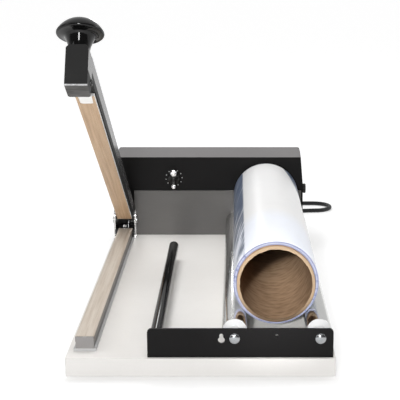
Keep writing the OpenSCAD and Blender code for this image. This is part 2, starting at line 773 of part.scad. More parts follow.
module arm_pad() color("white") raised() arm_box(pad_w, heel_len, pad_end, tape_t, pad_base);

// The tape runs to the pad's end, with a rounded notch that leaves the pad's end bare
module arm_tape() color([0.77, 0.64, 0.5]) raised() difference() {
    arm_box(pad_w, heel_len + tape_start, pad_end, 0, tape_t);
    translate([0, -pad_end - notch_r - over, -over]) linear_extrude(tape_t + 2 * over)
        round_square(notch_w, pad_bare + notch_r + over, notch_r);
}

block_chamfer = 1.2;
block_round = 3;
block_shoulder = 3;
module end_block() color([0.05, 0.05, 0.05]) raised() difference() {
    union() {
        intersection() {
            across(-block_w / 2, block_w / 2) polygon([
                [-bar_end, -block_drop], [-block_end + block_chamfer, -block_drop],
                [-block_end, -block_drop + block_chamfer], [-block_end, arm_top], [-bar_end, arm_top]
            ]);
            backwards(-block_end - over, -bar_end + over) polygon([
                [-block_w / 2, -block_drop], [-block_w / 2, arm_top - block_shoulder],
                [-block_w / 2 + block_shoulder, arm_top], [block_w / 2 - block_shoulder, arm_top],
                [block_w / 2, arm_top - block_shoulder], [block_w / 2, -block_drop]
            ]);
            union() {
                box([-block_w, -block_end - over, pad_base], [block_w, -bar_end + over, arm_top + over]);
                translate([0, -block_end - block_len, -block_drop - over]) linear_extrude(block_drop + over + pad_base)
                    round_square(block_w, 2 * block_len, block_round);
            }
        }
        arm_box(spigot_w, bar_end - spigot_len, bar_end + 5, spigot_low, spigot_high);
    }
    translate([0, -knob_at, 0]) along_z(stud_d + 2 * fit, arm_top - 14, arm_top + over);
    translate([0, -bar_end - block_screw_in, -block_screw_drop]) along_x(screw_d + 2 * fit, 0, block_w);
}

module end_block_screw() color("silver") raised()
    translate([block_w / 2, -bar_end - block_screw_in, -block_screw_drop])
        rotate([0, 90, 0]) screw(screw_d, block_w / 2, screw_head_d, screw_head_t - 0.4);

// Mushroom knob: a short stem that widens up to a thin rim under a dome
knob_rim_r = 2;
knob_disc_h = 0.49;
knob_collar_h = 0.444;
knob_neck_h = 0.12;
knob_collar_d = 31;
module handle_knob_outline() {
    under_h = knob_disc_h * knob_h;
    rim_h = under_h + knob_rim_r;
    rim_at = knob_d / 2 - knob_rim_r;
    // The dome's arc runs into the rim's without a step
    under_top = knob_h - knob_rim_r;
    dome_h = (pow(rim_at, 2) + pow(rim_h, 2) - pow(under_top, 2)) / (2 * (rim_h - under_top));
    dome_r = knob_h - dome_h;
    dome_half = rim_at * dome_r / (dome_r - knob_rim_r);
    polygon([
        [0, 0], [knob_stem_d / 2, 0], [knob_stem_d / 2 + 0.5, knob_neck_h * knob_h], [knob_collar_d / 2, knob_collar_h * knob_h],
        [rim_at, under_h], [rim_at, rim_h], [0, rim_h]
    ]);
    translate([rim_at, rim_h]) circle(knob_rim_r);
    intersection() {
        translate([0, dome_h]) circle(dome_r, $fn = 128);
        translate([0, rim_h - over]) square([dome_half, knob_h]);
    }
}

module handle_knob() color([0.03, 0.03, 0.03]) raised() translate([0, -knob_at, arm_top]) difference() {
    rotate_extrude() handle_knob_outline();
    translate([0, 0, -over]) cylinder(d = stud_d + 2 * fit, h = knob_h * 0.55 + over);
}

module knob_stud() color("silver") raised() translate([0, -knob_at, arm_top]) along_z(stud_d, -14 + fit, knob_h * 0.55 - fit);

// Housing

module hood_side(in) {
    y0 = hood_y + in;
    y1 = rear_y - in;
    ridge_y = hood_y + strip_run;
    rise = strip_rise / strip_run;
    fall = top_fall / (rear_y - ridge_y);
    rise_in = in * sqrt(1 + rise * rise);
    fall_in = in * sqrt(1 + fall * fall);
    ridge_in = (rise_in - fall_in) / (rise + fall);
    polygon([
        [y0, -over * sign(in)], [y0, hood_h + rise * in - rise_in],
        [ridge_y + ridge_in, hood_top - fall * ridge_in - fall_in],
        [y1, hood_top - fall * (y1 - ridge_y) - fall_in], [y1, -over * sign(in)]
    ]);
}

module hood_front(in) {
    r = hood_corner - in;
    top = hood_top - in;
    low = -over * sign(in);
    left = hood_left + in;
    right = hood_right - in;
    difference() {
        polygon([
            [left, low], [left, flare_from], [left + hood_flare, top - r], [left + hood_flare, top],
            [right - hood_flare, top], [right - hood_flare, top - r], [right, flare_from], [right, low]
        ]);
        translate([left + hood_flare, top - r]) corner_waste(r);
        translate([right - hood_flare, top - r]) mirror([1, 0]) corner_waste(r);
    }
}

// What is cut away to round a top left corner that starts at the origin
module corner_waste(r) difference() {
    translate([-over, 0]) square([r + over, r + over]);
    translate([r, 0]) circle(r);
}

module hood_solid(in) intersection() {
    across(hood_left - over, hood_right + over) hood_side(in);
    backwards(hood_y - over, rear_y + over) hood_front(in);
}

module hood() color([0.1, 0.1, 0.1]) machine() difference() {
    hood_solid(0);
    hood_solid(hood_wall);
    // The tray's floor passes under the front wall
    box([tray_left - seat, hood_y - over, -over], [tray_right + seat, hood_y + hood_wall + over, panel_t + seat]);
    for (x = roller_x) translate([x, 0, roller_axis_h]) along_y(axle_d + 2 * fit, hood_y - over, hood_y + hood_wall + over);
    translate([dial_x, 0, dial_h]) along_y(bushing_d + 2 * fit, hood_y - over, hood_y + hood_wall + over);
    translate([0, fuse_y, fuse_h]) along_x(fuse_body_d + 2 * fit, hood_right - hood_wall - over, hood_right + over);
    translate([outlet_x, 0, outlet_h]) along_y(relief_neck_d + 2 * fit, rear_y - hood_wall - over, rear_y + over);
    for (p = hood_screw_places) translate(p) rotate([-90, 0, 0]) screw_hole(screw_d, hood_wall + over);
}

// Grey sheet: the rear panel of the work area, the tray under the housing and the tray's rear lip
module chassis() color("dimgray") machine() difference() {
    union() {
        box([arm_x + panel_start, panel_y, 0], [tray_right, hood_y, panel_h]);
        box([tray_left, panel_y, 0], [tray_right, tray_back, panel_t]);
        box([tray_left, tray_back - panel_t, 0], [tray_right, tray_back, tray_lip_h]);
    }
    for (x = roller_x) translate([x, 0, roller_axis_h]) along_y(axle_d + 2 * fit, panel_y - over, hood_y + over);
    for (p = chassis_screw_places) translate(p) screw_hole(screw_d, panel_t + over);
    for (p = hood_screw_places) translate(p) rotate([-90, 0, 0]) screw_hole(screw_d, hood_wall + panel_t + over);
    translate([outlet_x, 0, outlet_h]) along_y(relief_nut_d + 2, tray_back - panel_t - over, tray_back + over);
}

module chassis_screws() color("silver") machine() for (p = chassis_screw_places)
    translate(p) screw(screw_d, panel_t + wood_screw_len, screw_head_d, screw_head_t);

module hood_screws() color([0.1, 0.1, 0.1]) machine() for (p = hood_screw_places)
    translate(p) rotate([-90, 0, 0]) screw(screw_d, hood_wall + panel_t + seat + 4, screw_head_d, screw_head_t);

// Transformer

core_w = 66;
core_deep = 34;
core_h = 56;
core_limb = 11;
transformer_place = [hood_right - 68, (hood_y + hood_wall + tray_back - panel_t) / 2, panel_t];

module transformer_core() color("darkgray") machine() translate(transformer_place) difference() {
    box([-core_w / 2, -core_deep / 2, 0], [core_w / 2, core_deep / 2, core_h]);
    for (s = [-1, 1]) translate([s * core_w / 4, 0, 0])
        box([-core_limb / 2, -core_deep, core_limb], [core_limb / 2, core_deep, core_h - core_limb]);
}

module transformer_coil() color("saddlebrown") machine() translate(transformer_place) difference() {
    box(
        [-core_w / 4 - core_limb / 2 + seat, -core_deep / 2 - 10, core_limb + seat],
        [core_w / 4 + core_limb / 2 - seat, core_deep / 2 + 10, core_h - core_limb - seat]
    );
    box([-core_w / 4 + core_limb / 2 - seat, -core_deep / 2 - seat, 0], [core_w / 4 - core_limb / 2 + seat, core_deep / 2 + seat, core_h]);
}

// Timer

board_w = 76;
board_d = 56;
board_t = 1.6;
board_lift = 10;
board_place = [hood_left + 52, (hood_y + hood_wall + tray_back - panel_t) / 2, panel_t];
standoff_places = [for (x = [-1, 1]) for (y = [-1, 1]) [x * (board_w / 2 - 5), y * (board_d / 2 - 5), 0]];

module timer_board() color("darkgreen") machine() translate(board_place)
    box([-board_w / 2, -board_d / 2, board_lift], [board_w / 2, board_d / 2, board_lift + board_t]);

module board_standoffs() color("gold") machine() translate(board_place) for (p = standoff_places)
    translate(p) cylinder(d = 6, h = board_lift);

module board_parts() color("royalblue") machine() translate(board_place + [0, 0, board_lift + board_t]) {
    box([-30, -8, 0], [-10, 8, 16]);
    for (x = [4, 17, 30]) translate([x, 0, 0]) cylinder(d = 10, h = 18);
}

pot_d = 17;
pot_t = 9;
bushing_out = 3;
shaft_in = 6;

module timer_pot() color("gray") machine() translate([dial_x, 0, dial_h]) difference() {
    union() {
        along_y(pot_d, hood_y + hood_wall, hood_y + hood_wall + pot_t);
        along_y(bushing_d, hood_y - bushing_out, hood_y + hood_wall + pot_t / 2);
    }
    along_y(shaft_d + 2 * fit, hood_y - bushing_out - over, hood_y + hood_wall + shaft_in);
}

module timer_shaft() color("silver") machine() translate([dial_x, 0, dial_h])
    along_y(shaft_d, dial_knob_y - dial_knob_t + 1, hood_y + hood_wall + shaft_in - 2 * fit);

dial_hub_d = 5.8;
dial_hub_t = 1;
module timer_knob() color([0.04, 0.04, 0.04]) machine() translate([dial_x, 0, dial_h]) difference() {
    union() {
        along_y(dial_knob_d, dial_knob_y - dial_knob_t, dial_knob_y);
        along_y(dial_hub_d, dial_knob_y - dial_knob_t - pointer_t - dial_hub_t, dial_knob_y - dial_knob_t + 1);
    }
    along_y(shaft_d + 2 * fit, dial_knob_y - dial_knob_t + 1 - fit, hood_y);
    along_y(bushing_d + 2, hood_y - bushing_out - 0.4, hood_y);
}

module timer_pointer() color("gainsboro") machine() translate([dial_x, 0, dial_h]) difference() {
    backwards(dial_knob_y - dial_knob_t - pointer_t, dial_knob_y - dial_knob_t) {
        translate([0, pointer_up]) circle(d = pointer_wide);
        translate([0, -pointer_down]) circle(d = pointer_narrow);
        polygon([
            [-pointer_narrow / 2, -pointer_down], [pointer_narrow / 2, -pointer_down],
            [pointer_wide / 2, pointer_up], [-pointer_wide / 2, pointer_up]
        ]);
    }
    along_y(dial_hub_d + 2 * fit, dial_knob_y - dial_knob_t - pointer_t - over, dial_knob_y);
}

// Fuse

fuse_body_d = 12;
fuse_body_len = 34;
fuse_bore_d = 8.2;
fuse_neck_len = 9;
fuse_d = 5;
fuse_len = 20;

module fuse_holder() color([0.12, 0.12, 0.12]) machine() translate([0, fuse_y, fuse_h]) difference() {
    union() {
        along_x(fuse_body_d, hood_right - fuse_body_len, hood_right);
        along_x(fuse_body_d + 5, hood_right - hood_wall - 3, hood_right - hood_wall);
    }
    along_x(fuse_bore_d, hood_right - fuse_neck_len - seat, hood_right + over);
    along_x(fuse_d + 2 * fit, hood_right - fuse_neck_len - fuse_len - 1, hood_right);
}

module fuse_cap() color([0.06, 0.06, 0.06]) machine() translate([hood_right, fuse_y, fuse_h]) rotate([0, 90, 0])
    rotate_extrude() polygon([
        [0, -fuse_neck_len], [fuse_bore_d / 2 - fit, -fuse_neck_len], [fuse_bore_d / 2 - fit, seat],
        [fuse_cap_d / 2, seat], [fuse_cap_d / 2, fuse_cap_t - 1], [fuse_cap_d / 2 - 1, fuse_cap_t], [0, fuse_cap_t]
    ]);

module fuse() color("lightcyan") machine() translate([0, fuse_y, fuse_h])
    along_x(fuse_d, hood_right - fuse_neck_len - fuse_len - 0.8, hood_right - fuse_neck_len - 0.8);

// Power cord

relief_neck_d = cord_d + 4;
relief_flange_d = cord_d + 9;
relief_nut_d = cord_d + 8;

module strain_relief() color([0.07, 0.07, 0.07]) machine() translate([outlet_x, 0, outlet_h]) {
    along_y(relief_nut_d, rear_y - hood_wall - 5, rear_y - hood_wall);
    along_y(relief_neck_d, rear_y - hood_wall - 5, rear_y + 3);
    along_y(relief_flange_d, rear_y, rear_y + 3);
    translate([0, rear_y + 1, 0]) rotate([-90, 0, 0])
        cylinder(d1 = relief_neck_d + 1, d2 = cord_d + 1, h = relief_len - 1);
}

module power_cord() color([0.05, 0.05, 0.05]) {
    tube(lead_route, cord_d, cord_sides, [0, 0, 1]);
    tube(tail_route, cord_d, cord_sides, [0, 0, 1]);
}

module cord_hank() color([0.05, 0.05, 0.05]) tube(hank_path, cord_d, hank_sides, [0, 0, 1]);

// A band round the hank's waist, just clear of the outermost strands
module cord_tie() color([0.12, 0.12, 0.12]) {
    back = hank_run_y(hank_end - 0.125, 0) + cord_r + tie_gap;
    front = -hank_run_y(hank_end - 0.625, 0) - cord_r - tie_gap;
    low = hank_low - cord_r - tie_gap;
    high = hank_high + cord_r + tie_gap;
    translate([hank_x, hank_y, 0]) difference() {
        box([-tie_w / 2, front - tie_t, low - tie_t], [tie_w / 2, back + tie_t, high + tie_t]);
        box([-tie_w, front, low], [tie_w, back, high]);
    }
}

module plug_body() color([0.06, 0.06, 0.06]) translate([plug_x, plug_y, 0]) {
    translate([0, 0, plug_h / 2]) rotate([90, 0, 0]) cylinder(d1 = cord_d + 1, d2 = cord_d + 6, h = plug_neck + 1);
    backwards(-plug_neck - plug_len, -plug_neck) round_square(plug_w, plug_h, 5);
}

blade_len = 16;
module plug_blades() color("khaki") translate([plug_x, plug_y - plug_neck - plug_len, plug_h / 2]) {
    for (s = [-1, 1]) translate([s * 6.35, 0, 0]) box([-0.8, -blade_len, -1.2], [0.8, 0, 5.2]);
    translate([0, 0, -5.6]) along_y(4.8, -blade_len - 3, 0);
}

base_board();
rubber_feet();
foot_screws();
cradle_bracket();
bracket_screws();
roller_axles();
axle_cap_nuts();
axle_rear_nuts();
left_roller();
left_roller_bushings();
right_roller();
right_roller_bushings();
film_rod();
film_core();
film_winding();
jaw_strip();
jaw_bar();
jaw_screws();
heating_ribbon();
ribbon_terminals();
jaw_tape();
hinge_bracket();
hinge_block();
hinge_screws();
hinge_pin();
pin_clip();
return_spring();
switch_plunger();
arm_switch();
arm_heel();
arm_bar();
arm_pad();
arm_tape();
end_block();
end_block_screw();
handle_knob();
knob_stud();
chassis();
chassis_screws();
hood();
hood_screws();
transformer_core();
transformer_coil();
timer_board();
board_standoffs();
board_parts();
timer_pot();
timer_shaft();
timer_knob();
timer_pointer();
fuse_holder();
fuse_cap();
fuse();
strain_relief();
power_cord();
cord_hank();
cord_tie();
plug_body();
plug_blades();
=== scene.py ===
"""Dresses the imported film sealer: finishes, fine shapes, power cord, studio and camera."""
import json
import logging
import math
from dataclasses import dataclass, field
from enum import Enum
from typing import Callable, Iterable, Sequence

import bmesh
import bpy
from mathutils import Matrix, Vector, noise

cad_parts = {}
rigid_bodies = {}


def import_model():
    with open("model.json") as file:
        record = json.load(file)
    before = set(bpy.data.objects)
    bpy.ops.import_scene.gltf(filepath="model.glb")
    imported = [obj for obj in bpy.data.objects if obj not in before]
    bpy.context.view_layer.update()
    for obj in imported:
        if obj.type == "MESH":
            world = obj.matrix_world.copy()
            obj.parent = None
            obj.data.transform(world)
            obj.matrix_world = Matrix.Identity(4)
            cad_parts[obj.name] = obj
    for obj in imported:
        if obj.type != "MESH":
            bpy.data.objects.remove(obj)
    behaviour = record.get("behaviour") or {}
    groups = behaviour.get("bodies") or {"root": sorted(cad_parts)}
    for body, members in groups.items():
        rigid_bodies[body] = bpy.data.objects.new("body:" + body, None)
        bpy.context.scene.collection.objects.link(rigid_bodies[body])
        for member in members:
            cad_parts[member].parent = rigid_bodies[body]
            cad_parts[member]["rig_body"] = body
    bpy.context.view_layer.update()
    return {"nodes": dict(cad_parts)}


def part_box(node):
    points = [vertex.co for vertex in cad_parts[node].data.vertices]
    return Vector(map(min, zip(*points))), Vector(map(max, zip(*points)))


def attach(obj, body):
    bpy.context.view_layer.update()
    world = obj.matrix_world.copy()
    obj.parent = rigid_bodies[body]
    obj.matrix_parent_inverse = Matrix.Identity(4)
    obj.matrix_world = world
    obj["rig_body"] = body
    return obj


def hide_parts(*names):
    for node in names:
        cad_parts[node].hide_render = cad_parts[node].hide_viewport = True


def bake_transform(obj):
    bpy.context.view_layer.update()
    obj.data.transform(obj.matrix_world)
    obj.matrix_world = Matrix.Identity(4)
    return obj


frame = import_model()

LOG = logging.getLogger("film_sealer")
MM = 0.001
MACHINE = Vector((3.25, -300.0, 23.0)) * MM
ARM_PIVOT = (-118.5, 486.8, 24.0)
PAD_DROP = 7.7
OPEN_ANGLE = math.radians(30.2)
RAISED = Matrix.Rotation(-OPEN_ANGLE, 3, "X")
LOWERED = Matrix.Rotation(OPEN_ANGLE, 3, "X")
ROLL_X = 0.0807
ROLL_Z = 0.082353
SCREW_R = 3.75
SCREW_SLOT = 0.6
RIGHT = Vector((1, 0, 0))
LEFT = Vector((-1, 0, 0))
REARWARD = Vector((0, 1, 0))
FORWARD = Vector((0, -1, 0))
UPWARD = Vector((0, 0, 1))
DOWNWARD = Vector((0, 0, -1))
WHITE = (1.0, 1.0, 1.0)

Socket = bpy.types.NodeSocket
Node = bpy.types.Node
Mesh = bpy.types.Mesh
Piece = bpy.types.Object
Shape = bmesh.types.BMesh
Radius = Callable[[float], float]


def machine_point(x: float, y: float, z: float) -> Vector:
    """Moves a point of the machine into the part's frame.

    Args:
        x: Millimetres to the right of the board's centre line.
        y: Millimetres behind the board's front edge.
        z: Millimetres above the board's top.

    Returns:
        The point in metres.
    """
    return Vector((x, y, z)) * MM + MACHINE


class Grain(Enum):
    """Kinds of fine surface that the finishes share."""

    MOULDED = "moulded surface"
    BRUSHED = "brushed surface"
    WOVEN = "woven surface"
    KRAFT = "kraft surface"


class ShaderTree:
    """Short names for adding and joining shader nodes in one tree."""

    mix_inputs: tuple = (0, 6, 7)
    mix_result: int = 2

    def __init__(self, tree: bpy.types.NodeTree) -> None:
        """Keeps the tree that nodes are added to."""
        self.tree = tree

    def add(self, kind: str, **inputs: object) -> Node:
        """Adds a node and fills its inputs.

        Args:
            kind: Blender's name of the node type.
            inputs: What goes into each input, by its name with spaces as underscores.

        Returns:
            The new node.
        """
        node = self.tree.nodes.new(kind)
        for name, value in inputs.items():
            self.put(node, name.replace("_", " "), value)
        return node

    def put(self, node: Node, name: str | int, value: object) -> None:
        """Links an output to a node's input, or sets the input's own value.

        Args:
            node: The node that has the input.
            name: The input's name or number.
            value: An output, a number, a vector, or a colour without its alpha.
        """
        socket = node.inputs[name]
        if isinstance(value, Socket):
            self.tree.links.new(value, socket)
        elif socket.type == "RGBA":
            socket.default_value = (*value, 1.0)
        else:
            socket.default_value = value

    def operated(self, kind: str, operation: str, *values: object) -> Node:
        """Adds a Math or a Vector Math node.

        Args:
            kind: Blender's name of the node type.
            operation: What the node does.
            values: Its inputs in order.

        Returns:
            The new node.
        """
        node = self.tree.nodes.new(kind)
        node.operation = operation
        for index, value in enumerate(values):
            self.put(node, index, value)
        return node

    def math(self, operation: str, first: object, second: object) -> Socket:
        """Adds a Math node and gives its value."""
        return self.operated("ShaderNodeMath", operation, first, second).outputs[0]

    def times(self, first: object, second: object) -> Socket:
        """Multiplies two values."""
        return self.math("MULTIPLY", first, second)

    def weighed(self, first: object, share: float, second: object, other_share: float) -> Socket:
        """Adds two values, each times its own share."""
        return self.math("ADD", self.times(first, share), self.times(second, other_share))

    def vector(self, operation: str, *values: object) -> Node:
        """Adds a Vector Math node."""
        return self.operated("ShaderNodeVectorMath", operation, *values)

    def parts(self, place: object) -> bpy.types.NodeOutputs:
        """Splits a coordinate into X, Y and Z."""
        return self.add("ShaderNodeSeparateXYZ", Vector=place).outputs

    def cloud(self, place: object, scale: object, detail: float, roughness: float = 0.5) -> Socket:
        """Adds a noise texture and gives its value."""
        node = self.add("ShaderNodeTexNoise", Vector=place, Scale=scale, Detail=detail, Roughness=roughness)
        return node.outputs["Fac"]

    def span(
        self, value: object, low: float, high: float, to_low: float = 0.0, to_high: float = 1.0,
    ) -> Socket:
        """Maps a value from one range to another, without passing its ends."""
        limits = {"From_Min": low, "From_Max": high, "To_Min": to_low, "To_Max": to_high}
        return self.add("ShaderNodeMapRange", Value=value, **limits).outputs[0]

    def blend(self, share: object, first: object, second: object) -> Socket:
        """Mixes two colours.

        Args:
            share: The second colour's share.
            first: The first colour.
            second: The second colour.

        Returns:
            The mixed colour.
        """
        node = self.tree.nodes.new("ShaderNodeMix")
        node.data_type = "RGBA"
        for index, value in zip(self.mix_inputs, (share, first, second)):
            self.put(node, index, value)
        return node.outputs[self.mix_result]


class SurfaceGroups:
    """Shader node groups that more than one finish uses, each built once."""

    patches_per_metre: float = 14.0
    marks_per_metre: float = 45.0
    marked: tuple = (0.52, 0.75)
    tape_pull: tuple = (330.0, 9.0, 60.0)

    def __init__(self) -> None:
        """Starts with no group built."""
        self.built: dict[Grain, bpy.types.NodeTree] = {}

    def group(self, grain: Grain) -> bpy.types.NodeTree:
        """Gives the group of one grain, and builds it on first use.

        Args:
            grain: The kind of fine surface.

        Returns:
            The node group, with Vector, Size and Stretch in, and Tone, Wear and Height out.
        """
        if grain not in self.built:
            tree = bpy.data.node_groups.new(grain.value, "ShaderNodeTree")
            sockets = [("Vector", "INPUT", "Vector"), ("Size", "INPUT", "Float")]
            sockets.append(("Stretch", "INPUT", "Vector"))
            sockets += [(name, "OUTPUT", "Float") for name in ("Tone", "Wear", "Height")]
            for name, side, kind in sockets:
                tree.interface.new_socket(name=name, in_out=side, socket_type="NodeSocket" + kind)
            self._fill(grain, ShaderTree(tree))
            self.built[grain] = tree
        return self.built[grain]

    def _fill(self, grain: Grain, nodes: ShaderTree) -> None:
        """Puts a grain's nodes into its empty group.

        Args:
            grain: The kind of fine surface.
            nodes: The group's tree.
        """
        entry = nodes.add("NodeGroupInput").outputs
        leave = nodes.add("NodeGroupOutput")
        around = entry["Vector"]
        scale = nodes.math("DIVIDE", 1.0, entry["Size"])
        place = nodes.vector("MULTIPLY", around, entry["Stretch"]).outputs["Vector"]
        height = nodes.cloud(place, scale, 3.0, 0.6)
        marks = nodes.cloud(around, self.marks_per_metre, 6.0, 0.7)
        tone = nodes.weighed(nodes.cloud(around, self.patches_per_metre, 4.0), 0.6, height, 0.4)
        if grain is Grain.WOVEN:
            height, tone = self._weave(nodes, place, scale, self._streaks(nodes, around))
        if grain is Grain.KRAFT:
            fibres = nodes.add("ShaderNodeTexVoronoi", Vector=place, Scale=nodes.times(scale, 0.45))
            tone = nodes.weighed(tone, 0.7, fibres.outputs["Distance"], 0.45)
        nodes.put(leave, "Tone", tone)
        nodes.put(leave, "Wear", nodes.span(marks, *self.marked))
        nodes.put(leave, "Height", height)

    def _streaks(self, nodes: ShaderTree, place: Socket) -> Socket:
        """Adds tones drawn out along Y, as on tape that was pulled and heated."""
        drawn = nodes.vector("MULTIPLY", place, self.tape_pull).outputs["Vector"]
        return nodes.span(nodes.cloud(drawn, 1.0, 5.0, 0.62), 0.3, 0.7, 0.15, 0.85)

    @staticmethod
    def _weave(nodes: ShaderTree, place: Socket, scale: Socket, tone: Socket) -> tuple:
        """Adds warp and weft threads, with painted shade between them.

        Args:
            nodes: The tree to add to.
            place: The stretched coordinate.
            scale: Threads per metre.
            tone: The patchy tone, which gets painted shade between threads.

        Returns:
            The thread height and the new tone.
        """
        threads = []
        for direction in ("X", "Y"):
            wave = nodes.add("ShaderNodeTexWave", Vector=place, Scale=scale, Distortion=0.6, Detail=1.0)
            wave.wave_type = "BANDS"
            wave.bands_direction = direction
            threads.append(wave.outputs["Fac"])
        height = nodes.math("MAXIMUM", *threads)
        # Painted shade: the tone follows the thread height, darker where the threads lie low.
        return height, nodes.weighed(tone, 0.8, height, 0.2)


GROUPS = SurfaceGroups()


class MaterialTree(ShaderTree):
    """The nodes of one material: its shader, the object coordinate and a surface group."""

    def __init__(self, name: str, grain: Grain) -> None:
        """Starts a material.

        Args:
            name: The material's name.
            grain: The kind of fine surface.
        """
        self.material = bpy.data.materials.new(name)
        self.material.use_nodes = True
        super().__init__(self.material.node_tree)
        self.tree.nodes.clear()
        self.shader = self.add("ShaderNodeBsdfPrincipled")
        self.place = self.add("ShaderNodeTexCoord").outputs["Object"]
        self.surface = self.add("ShaderNodeGroup")
        self.surface.node_tree = GROUPS.group(grain)
        self.add("ShaderNodeOutputMaterial", Surface=self.shader.outputs["BSDF"])

    def grained(self, name: str) -> Socket:
        """Gives one output of the surface group."""
        return self.surface.outputs[name]


@dataclass(frozen=True)
class Finish:
    """One material of the machine, with the detail that the real surface shows.

    Attributes:
        name: The material's name.
        slot: The record's material slot; not used.
        colour: Linear base colour.
        shade: Linear colour of the darker or worn patches.
        roughness: Roughness where the surface is clean.
        rubbed: Roughness where the surface is rubbed or marked.
        metallic: 1 for bare metal.
        specular: Strength of the plain reflection.
        grain: Kind of fine surface.
        size: Size of the fine grain in metres.
        stretch: How the grain is drawn out along each axis.
        bump: Height of the grain in metres.
        turn: Turn of the grain about X in radians.
        tones: Tones of the surface group that give the shade and the colour.
    """

    name: str
    slot: str
    colour: tuple
    shade: tuple
    roughness: float
    rubbed: float
    metallic: float = 0.0
    specular: float = 0.5
    grain: Grain = Grain.MOULDED
    size: float = 0.0008
    stretch: tuple = (1.0, 1.0, 1.0)
    bump: float = 0.00002
    turn: float = 0.0
    tones: tuple = (0.3, 0.7)

    def material(self) -> bpy.types.Material:
        """Gives the finish's material, and builds it on first use.

        Returns:
            The material.
        """
        found = bpy.data.materials.get(self.name)
        if found is not None:
            return found
        nodes = MaterialTree(self.name, self.grain)
        turned = nodes.add("ShaderNodeMapping", Vector=nodes.place, Rotation=(self.turn, 0.0, 0.0))
        nodes.put(nodes.surface, "Vector", turned.outputs["Vector"])
        nodes.put(nodes.surface, "Size", self.size)
        nodes.put(nodes.surface, "Stretch", self.stretch)
        self.dress(nodes)
        return nodes.material

    def dress(self, nodes: MaterialTree) -> None:
        """Joins the surface group to the shader.

        Args:
            nodes: The material's nodes.
        """
        worn = nodes.span(nodes.grained("Wear"), 0.0, 1.0, self.roughness, self.rubbed)
        bump = nodes.add("ShaderNodeBump", Height=nodes.grained("Height"), Strength=0.5, Distance=self.bump)
        nodes.put(nodes.shader, "Base Color", self.colouring(nodes))
        nodes.put(nodes.shader, "Roughness", worn)
        nodes.put(nodes.shader, "Metallic", self.metallic)
        nodes.put(nodes.shader, "Specular IOR Level", self.specular)
        nodes.put(nodes.shader, "Normal", bump.outputs["Normal"])

    def patchy(self, nodes: MaterialTree) -> Socket:
        """Gives the colour with its darker patches."""
        return nodes.blend(nodes.span(nodes.grained("Tone"), *self.tones), self.shade, self.colour)

    def colouring(self, nodes: MaterialTree) -> Socket:
        """Gives the base colour over the whole surface."""
        return self.patchy(nodes)


